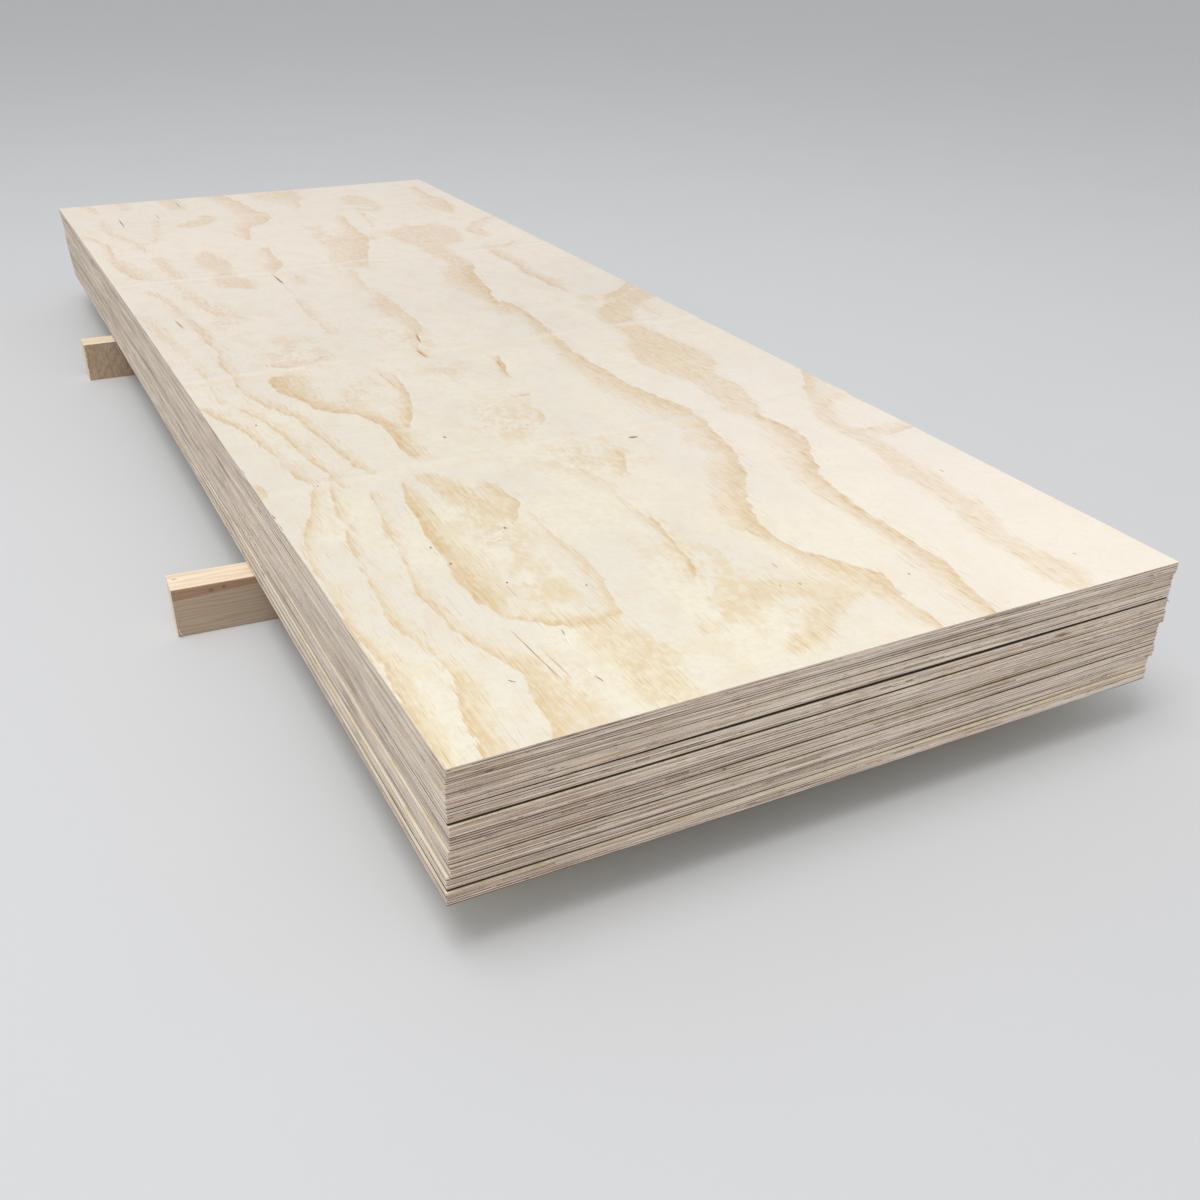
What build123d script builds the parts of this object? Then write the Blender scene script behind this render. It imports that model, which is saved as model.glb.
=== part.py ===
from build123d import *
import os
from math import cos, radians, sin

# Plywood sheets stacked on two timber bearers, in millimetres.
# +X runs across the sheets, +Y along them away from the near end, and +Z is up.
# The origin is on the floor, below the middle of the whole stack.

# Sheets
sheet_count = 10
sheet_length = 2440.0
sheet_width = 900.0
sheet_thickness = 14.7  # what boards sold as 15 mm measure
ply_count = 5
crown_rise = 7.9  # the middle of a sheet above the line through its two ends
resting_gap = 0.3  # air between two faces that rest on each other
corner_wear = 1.5  # radius of the worn upright corners
trim = 6.0  # how far a board stands out all round before it is cut to size

# Bearers, each set on edge under the sheets
bearer_front_width = 48.0
bearer_front_height = 70.5
bearer_front_length = 1000.0
bearer_front_from_end = 702.0  # from the sheets' near end to the bearer's middle
bearer_front_overhang = 111.0  # how far it stands out of the stack on the left
bearer_front_turn = -3.2
eased_edge = 2.0

bearer_back_width = 47.0
bearer_back_height = 73.5
bearer_back_length = 1000.0
bearer_back_from_end = 1856.0
bearer_back_overhang = 59.0
bearer_back_turn = 0.0
sawn_edge = 0.6

# The torn fibres at the sawn bearer's left end
tears_below_top = 2.2
tear_pitch = 7.4
tear_depths = [1.6, 2.6, 1.2, 3.0, 2.0, 1.4, 2.8, 1.8]
tear_reach = 9.0  # how far the tears run into the bearer's width

# How each sheet lies, from the lowest up: to the right, to the back, and turned in degrees
lie_of_sheets = [
    (0.3, -1.2, -0.27),
    (0.9, 1.4, -0.22),
    (1.8, -1.0, -0.11),
    (1.3, 0.9, -0.13),
    (1.4, 2.0, -0.03),
    (0.8, -2.0, -0.06),
    (1.0, 0.2, -0.09),
    (0.7, 0.8, -0.08),
    (0.4, 2.0, -0.03),
    (0.0, 0.0, 0.0),
]

# Air between one sheet and the next, from the lowest joint up,
# at the left corner, in the middle and at the right corner
near_end_gaps = [
    (1.8, 0.7, 0.5),
    (0.3, 0.9, 0.6),
    (0.8, 1.3, 1.0),
    (0.3, 0.9, 0.7),
    (0.3, 0.9, 0.6),
    (2.7, 1.5, 0.6),
    (1.0, 3.3, 2.2),
    (0.3, 0.9, 0.6),
    (0.3, 0.9, 0.7),
]
far_end_gaps = [
    (0.7, 0.8, 0.9),
    (0.4, 0.7, 1.1),
    (0.6, 0.8, 0.9),
    (0.5, 0.7, 1.0),
    (0.9, 1.1, 1.2),
    (0.5, 0.7, 0.9),
    (0.8, 1.2, 1.5),
    (0.6, 0.8, 1.0),
    (0.5, 0.7, 0.9),
]
near_end_sag = (1.2, 3.2, 1.1)  # how far the lowest sheet's near end hangs below its bow
gap_left_at_seat = 0.3  # share of the near end's opening that is left above the front bearer

# Voids and tears in the edges: sheet, distance, ply from below, and length
void_height = 1.8
void_depth = 6.0
near_end_voids = [
    (10, 646.0, 4, 80.0),
    (8, 534.0, 3, 58.0),
    (7, 197.0, 3, 20.0),
    (7, 246.0, 3, 38.0),
    (7, 485.0, 3, 16.0),
    (7, 517.0, 3, 9.0),
    (7, 774.0, 3, 14.0),
    (6, 764.0, 3, 20.0),
    (6, 792.0, 3, 18.0),
    (5, 126.0, 2, 27.0),
    (5, 236.0, 3, 30.0),
    (4, 203.0, 3, 38.0),
    (4, 579.0, 4, 200.0),
    (3, 97.0, 3, 6.0),
    (3, 136.0, 3, 25.0),
    (3, 390.0, 3, 43.0),
    (2, 820.0, 2, 24.0),
    (1, 83.0, 4, 60.0),
    (1, 530.0, 4, 26.0),
]
left_edge_voids = [
    (3, 650.0, 1, 14.0),
    (4, 1163.0, 3, 26.0),
    (6, 842.0, 3, 24.0),
    (7, 632.0, 3, 30.0),
    (7, 2193.0, 4, 60.0),
    (8, 310.0, 4, 24.0),
    (9, 684.0, 4, 20.0),
    (9, 1824.0, 3, 40.0),
]

# Worked out from the sizes above
ply_thickness = sheet_thickness / ply_count
bow = crown_rise / (sheet_length / 2) ** 2
stack_reach = 2 * max(bearer_front_height, bearer_back_height) + 2 * sheet_count * sheet_thickness


def half_extent(along_size, across_size, turn):
    """Half of what a rectangle measures along its first size's axis once it is turned."""
    return along_size / 2 * cos(radians(turn)) + across_size / 2 * abs(sin(radians(turn)))


# The stack's middle lies at X = 0 with the bearers' ends counted in
front_reach = half_extent(bearer_front_length, bearer_front_width, bearer_front_turn)
back_reach = half_extent(bearer_back_length, bearer_back_width, bearer_back_turn)
left_end = -sheet_width / 2 - max(bearer_front_overhang, bearer_back_overhang)
right_end = -sheet_width / 2 + max(
    sheet_width,
    2 * front_reach - bearer_front_overhang,
    2 * back_reach - bearer_back_overhang,
)
stack_x = -(left_end + right_end) / 2

# The drooping sheets touch the outer edge of each bearer
front_seat = bearer_front_from_end - half_extent(bearer_front_width, sheet_width, bearer_front_turn)
back_seat = bearer_back_from_end + half_extent(bearer_back_width, sheet_width, bearer_back_turn)
seat_span = back_seat - front_seat

# Places along a board at which its profile is set
stations = [
    -trim,
    front_seat,
    front_seat + seat_span / 2,
    back_seat,
    sheet_length + trim,
]


def from_near_end(along):
    """Share of the near end's opening that is left at this place."""
    if along < front_seat:
        return 1 - (1 - gap_left_at_seat) * along / front_seat
    return gap_left_at_seat * max(0.0, (back_seat - along) / seat_span)


def from_far_end(along):
    """Share of the far end's opening that is left at this place."""
    return max(0.0, (along - front_seat) / (sheet_length - front_seat)) ** 2


def bearing_height(along):
    """Height of the line that rests on both bearers."""
    slope = (bearer_back_height - bearer_front_height) / seat_span
    return bearer_front_height + slope * (along - front_seat)


def underside(number, along, side):
    """Height of a sheet's lower face at the left edge, the middle or the right edge."""
    arch = bow * (along - front_seat) * (back_seat - along)
    sag = near_end_sag[side] * max(0.0, 1 - along / front_seat)
    opened = 0.0
    for near, far in zip(near_end_gaps[:number], far_end_gaps[:number]):
        opened += (near[side] - resting_gap) * from_near_end(along)
        opened += (far[side] - resting_gap) * from_far_end(along)
    rested = number * (sheet_thickness + resting_gap) + resting_gap
    return bearing_height(along) + arch - sag + opened + rested


def edge_height(number, along, across, ply):
    """Height of a ply's middle at any place, with across from -1 at the left to 1."""
    left, middle, right = (underside(number, along, side) for side in range(3))
    bent = (left + right) / 2 - middle
    return middle + across * (right - left) / 2 + bent * across**2 + (ply - 0.5) * ply_thickness


def cut_voids(number, near_end, left_edge):
    """Cut the slots that missing core veneer leaves in the edges."""
    for sheet_number, place, ply, length in near_end_voids:
        if sheet_number == number + 1:
            across = 2 * place / sheet_width - 1
            height = edge_height(number, 0.0, across, ply)
            with BuildSketch(near_end) as slot:
                with Locations((place - sheet_width / 2, height)):
                    SlotOverall(length, void_height)
            extrude(slot.sketch, amount=-void_depth, mode=Mode.SUBTRACT)
    for sheet_number, place, ply, length in left_edge_voids:
        if sheet_number == number + 1:
            height = edge_height(number, place, -1.0, ply)
            with BuildSketch(left_edge) as slot:
                with Locations((-place, height)):
                    SlotOverall(length, void_height)
            extrude(slot.sketch, amount=-void_depth, mode=Mode.SUBTRACT)


os.makedirs("parts", exist_ok=True)

# Sheets: each is lofted across its width through three bowed side profiles, then trimmed
for number in range(sheet_count):
    right, back, turn = lie_of_sheets[number]
    lie = Plane(origin=(stack_x + right, back, 0)).rotated((0, 0, turn))
    near_end = Plane(
        origin=lie.from_local_coords((0, -sheet_length / 2, 0)),
        x_dir=lie.x_dir,
        z_dir=-lie.y_dir,
    )
    left_edge = Plane(
        origin=lie.from_local_coords((-sheet_width / 2, -sheet_length / 2, 0)),
        x_dir=-lie.y_dir,
        z_dir=-lie.x_dir,
    )
    with BuildPart() as sheet:
        for side, across in enumerate((-sheet_width / 2 - trim, 0, sheet_width / 2 + trim)):
            corner = lie.from_local_coords((across, -sheet_length / 2, 0))
            with BuildSketch(Plane(origin=corner, x_dir=lie.y_dir, z_dir=lie.x_dir)):
                with BuildLine():
                    heights = [underside(number, along, side) for along in stations]
                    lower = Spline(*zip(stations, heights))
                    upper = Spline(*zip(stations, [height + sheet_thickness for height in heights]))
                    Line(lower @ 0, upper @ 0)
                    Line(lower @ 1, upper @ 1)
                make_face()
        loft()
        with BuildSketch(lie):
            RectangleRounded(sheet_width, sheet_length, corner_wear)
        extrude(amount=stack_reach, mode=Mode.INTERSECT)
        cut_voids(number, near_end, left_edge)
    sheet.part.label = f"sheet_{number + 1:02d}"
    export_step(sheet.part, f"parts/{sheet.part.label}.step")

# Front bearer: planed timber with eased edges
front_lie = Plane(
    origin=(
        stack_x - sheet_width / 2 - bearer_front_overhang + front_reach,
        bearer_front_from_end - sheet_length / 2,
        0,
    )
).rotated((0, 0, bearer_front_turn))
with BuildPart() as bearer_front:
    with BuildSketch(Plane(origin=front_lie.origin, x_dir=front_lie.y_dir, z_dir=front_lie.x_dir)) as section:
        Rectangle(bearer_front_width, bearer_front_height, align=(Align.CENTER, Align.MIN))
        fillet(section.vertices(), radius=eased_edge)
    extrude(amount=bearer_front_length / 2, both=True)
bearer_front.part.label = "bearer_front"
export_step(bearer_front.part, "parts/bearer_front.step")

# Back bearer: rough-sawn timber with a torn left end
back_lie = Plane(
    origin=(
        stack_x - sheet_width / 2 - bearer_back_overhang + back_reach,
        bearer_back_from_end - sheet_length / 2,
        0,
    )
).rotated((0, 0, bearer_back_turn))
near_side = Plane(
    origin=back_lie.from_local_coords((-bearer_back_length / 2, -bearer_back_width / 2, 0)),
    x_dir=back_lie.x_dir,
    z_dir=-back_lie.y_dir,
)
with BuildPart() as bearer_back:
    with BuildSketch(Plane(origin=back_lie.origin, x_dir=back_lie.y_dir, z_dir=back_lie.x_dir)) as section:
        Rectangle(bearer_back_width, bearer_back_height, align=(Align.CENTER, Align.MIN))
        chamfer(section.vertices(), length=sawn_edge)
    extrude(amount=bearer_back_length / 2, both=True)
    with BuildSketch(near_side):
        for place, depth in enumerate(tear_depths):
            low = bearer_back_height - tears_below_top - (place + 1) * tear_pitch
            with BuildLine():
                Polyline((0, low), (depth, low + tear_pitch / 3), (0, low + tear_pitch * 2 / 3), close=True)
            make_face()
    extrude(amount=-tear_reach, mode=Mode.SUBTRACT)
bearer_back.part.label = "bearer_back"
export_step(bearer_back.part, "parts/bearer_back.step")
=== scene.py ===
import math
import random
from collections import namedtuple

import bmesh
import bpy
import numpy as np
from bpy.props import FloatProperty, FloatVectorProperty, IntProperty, PointerProperty
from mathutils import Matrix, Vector, noise
from mathutils.bvhtree import BVHTree


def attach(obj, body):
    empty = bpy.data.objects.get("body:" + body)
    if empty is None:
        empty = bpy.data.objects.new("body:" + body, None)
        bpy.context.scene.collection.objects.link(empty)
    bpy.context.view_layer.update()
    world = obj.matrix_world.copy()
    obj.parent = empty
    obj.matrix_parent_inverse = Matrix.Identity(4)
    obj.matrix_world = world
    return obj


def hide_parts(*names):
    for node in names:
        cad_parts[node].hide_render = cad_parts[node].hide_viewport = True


bl_info = {
    "name": "Plywood stack",
    "version": (1, 0, 0),
    "blender": (4, 5, 0),
    "location": "3D View > Sidebar > Plywood",
    "description": "Makes ten bowed plywood sheets on two timber bearers, and a plain stage for them",
    "category": "Add Mesh",
}

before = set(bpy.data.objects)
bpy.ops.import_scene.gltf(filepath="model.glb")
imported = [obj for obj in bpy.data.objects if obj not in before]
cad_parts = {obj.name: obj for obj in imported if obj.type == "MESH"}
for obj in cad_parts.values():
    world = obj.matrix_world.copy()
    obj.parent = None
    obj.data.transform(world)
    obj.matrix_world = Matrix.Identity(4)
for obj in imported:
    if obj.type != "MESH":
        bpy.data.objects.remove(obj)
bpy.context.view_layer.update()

MM = 0.001
# How near a vertex has to be to a board's outline, and to its flat upper face, to lie in it
NEAR = 0.1 * MM
TOUCHING = 0.01 * MM
ROOT = "root"
SHEETS = sorted(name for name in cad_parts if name.startswith("sheet_"))
TOP_SHEET = len(SHEETS)


def from_srgb(red, green, blue):
    """The linear colour of an sRGB colour given from 0 to 255."""
    shares = (channel / 255 for channel in (red, green, blue))
    return tuple(s / 12.92 if s <= 0.04045 else ((s + 0.055) / 1.055) ** 2.4 for s in shares)


def colour(name, description, default):
    """A colour that a user can change."""
    return FloatVectorProperty(
        name=name, description=description, default=default, size=3, min=0, max=1, subtype="COLOR"
    )


def length(name, description, default):
    """A length in metres that a user can change."""
    return FloatProperty(
        name=name,
        description=description,
        default=default,
        min=0,
        precision=5,
        unit="LENGTH",
        subtype="DISTANCE",
    )


# Marks of the real boards, in millimetres from the sheet's near left corner

# Slots in the near end: sheet, distance from the left, ply from below, length
NEAR_END_VOIDS = (
    (10, 646, 4, 80),
    (8, 534, 3, 58),
    (7, 197, 3, 20),
    (7, 246, 3, 38),
    (7, 485, 3, 16),
    (7, 517, 3, 9),
    (7, 774, 3, 14),
    (6, 764, 3, 20),
    (6, 792, 3, 18),
    (5, 126, 2, 27),
    (5, 236, 3, 30),
    (4, 203, 3, 38),
    (4, 579, 4, 200),
    (3, 97, 3, 6),
    (3, 136, 3, 25),
    (3, 390, 3, 43),
    (2, 820, 2, 24),
    (1, 83, 4, 60),
    (1, 530, 4, 26),
)
# Slots in the left edge: sheet, distance from the near end, ply from below, length
LEFT_EDGE_VOIDS = (
    (3, 650, 1, 14),
    (4, 1163, 3, 26),
    (6, 842, 3, 24),
    (7, 632, 3, 30),
    (7, 2193, 4, 60),
    (8, 310, 4, 24),
    (9, 684, 4, 20),
    (9, 1824, 3, 40),
)
# Chips in the top sheet's long edges: side, distance from the near end, length, depth
EDGE_CHIPS = (
    (-1, 246, 70, 1.6),
    (-1, 516, 26, 2.0),
    (-1, 548, 30, 2.4),
    (-1, 692, 34, 2.2),
    (-1, 937, 40, 2.4),
    (1, 590, 60, 2.2),
    (1, 690, 90, 1.8),
    (1, 1020, 70, 2.0),
    (1, 1280, 110, 1.6),
    (1, 1700, 80, 1.6),
)
# Marks in the sawn edges: on the near end or the left side, distance along it, sheet, how many plies
# above its underside, length, height in plies, colour and strength
EDGE_MARKS = (
    ("end", 610, 1, 4.7, 680, 0.55, "straw", 0.9),
    ("end", 700, 5, 0.6, 500, 0.5, "straw", 0.5),
    ("end", 20, 6, 4.2, 70, 0.5, "resin", 0.5),
    ("side", 230, 2, 4.6, 560, 0.7, "straw", 0.9),
    ("side", 200, 4, 4.7, 520, 0.7, "straw", 0.9),
    ("side", 140, 1, 4.6, 380, 0.5, "straw", 0.6),
    ("side", 0, 3, 1.0, 200, 1.6, "straw", 0.4),
    ("end", 48, 10, 1.8, 93, 0.5, "resin", 0.7),
    ("end", 32, 10, 1.8, 16, 0.3, "glue", 0.7),
    ("end", 159, 10, 4.2, 22, 0.5, "glue", 0.7),
    ("end", 289, 10, 2.4, 22, 0.4, "glue", 0.6),
    ("end", 159, 9, 0.9, 22, 0.6, "stain", 0.7),
    ("end", 574, 9, 2.8, 20, 0.5, "stain", 0.7),
    ("end", 101, 8, 3.4, 9, 0.6, "glue", 0.8),
    ("end", 150, 8, 1.9, 110, 0.9, "resin", 0.6),
    ("end", 305, 8, 1.9, 30, 0.8, "resin", 0.6),
    ("end", 748, 8, 2.0, 16, 0.5, "stain", 0.7),
    ("end", 792, 8, 2.0, 27, 0.5, "stain", 0.7),
    ("end", 865, 8, 3.0, 62, 0.5, "stain", 0.3),
    ("end", 570, 7, 2.2, 18, 0.7, "stain", 0.5),
    ("end", 731, 7, 2.8, 22, 1.7, "stain", 0.8),
    ("end", 720, 7, 1.0, 6, 0.5, "glue", 0.8),
    ("end", 799, 7, 2.0, 10, 0.5, "glue", 0.6),
    ("end", 231, 6, 4.1, 24, 0.3, "glue", 0.6),
    ("end", 780, 6, 0.6, 26, 0.4, "glue", 0.5),
    ("end", 416, 5, 4.7, 12, 0.5, "stain", 0.8),
    ("end", 53, 5, 4.1, 38, 0.4, "glue", 0.8),
    ("end", 181, 5, 1.5, 84, 0.14, "glue", 0.7),
    ("end", 473, 5, 3.3, 12, 0.4, "glue", 0.7),
    ("end", 495, 5, 3.4, 10, 0.4, "glue", 0.6),
    ("end", 631, 5, 4.8, 44, 0.3, "glue", 0.7),
    ("end", 682, 5, 3.5, 30, 0.4, "glue", 0.5),
    ("end", 5, 4, 2.2, 12, 0.8, "stain", 0.6),
    ("end", 291, 4, 4.6, 6, 0.6, "glue", 0.8),
    ("end", 853, 4, 3.1, 52, 0.9, "stain", 0.35),
    ("end", 238, 3, 2.8, 82, 0.5, "stain", 0.35),
    ("end", 350, 3, 2.6, 14, 0.5, "glue", 0.6),
    ("end", 390, 3, 2.6, 44, 1.1, "stain", 0.5),
    ("end", 889, 3, 0.4, 8, 0.6, "stain", 0.7),
    ("end", 316, 2, 4.6, 10, 0.4, "glue", 0.7),
    ("end", 606, 2, 4.0, 18, 0.4, "glue", 0.6),
    ("end", 561, 2, 1.9, 46, 0.8, "glue", 0.3),
    ("end", 76, 1, 0.8, 7, 0.5, "glue", 0.8),
    ("end", 768, 1, 2.5, 20, 0.5, "glue", 0.5),
    ("end", 833, 1, 2.5, 44, 0.5, "stain", 0.4),
    ("side", 632, 7, 1.8, 60, 0.6, "glue", 0.5),
    ("side", 842, 6, 2.5, 18, 0.7, "glue", 0.7),
    ("side", 1163, 4, 1.4, 26, 0.6, "glue", 0.6),
    ("side", 1200, 2, 4.6, 20, 0.6, "stain", 0.7),
    ("side", 1000, 10, 0.6, 20, 0.5, "glue", 0.6),
    ("side", 768, 9, 3.9, 18, 0.6, "glue", 0.6),
    ("side", 684, 9, 3.9, 16, 0.6, "glue", 0.6),
    ("side", 663, 4, 3.1, 20, 0.7, "stain", 0.6),
    ("side", 2193, 7, 3.9, 60, 0.7, "glue", 0.7),
    ("side", 2047, 7, 3.9, 40, 0.6, "glue", 0.6),
    ("side", 1824, 9, 2.9, 44, 0.6, "glue", 0.7),
    ("side", 2093, 9, 3.3, 26, 0.6, "glue", 0.6),
    ("side", 1808, 7, 4.2, 30, 0.6, "glue", 0.6),
    ("side", 1685, 7, 3.9, 30, 0.6, "stain", 0.6),
    ("side", 1547, 8, 0.5, 30, 0.6, "glue", 0.6),
    ("side", 1547, 6, 0.5, 26, 0.6, "glue", 0.6),
    ("side", 650, 3, 0.3, 26, 1.6, "glue", 0.9),
    ("side", 644, 2, 4.5, 18, 1.2, "stain", 0.9),
    ("side", 290, 6, 2.2, 100, 3.0, "stain", 0.3),
    ("side", 290, 5, 3.6, 96, 1.8, "stain", 0.3),
    ("side", 937, 10, 4.6, 18, 0.9, "glue", 0.8),
    ("side", 692, 10, 4.6, 16, 0.9, "glue", 0.8),
    ("side", 548, 10, 4.6, 14, 0.9, "glue", 0.8),
    ("side", 516, 10, 4.6, 12, 0.9, "glue", 0.7),
)
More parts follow.
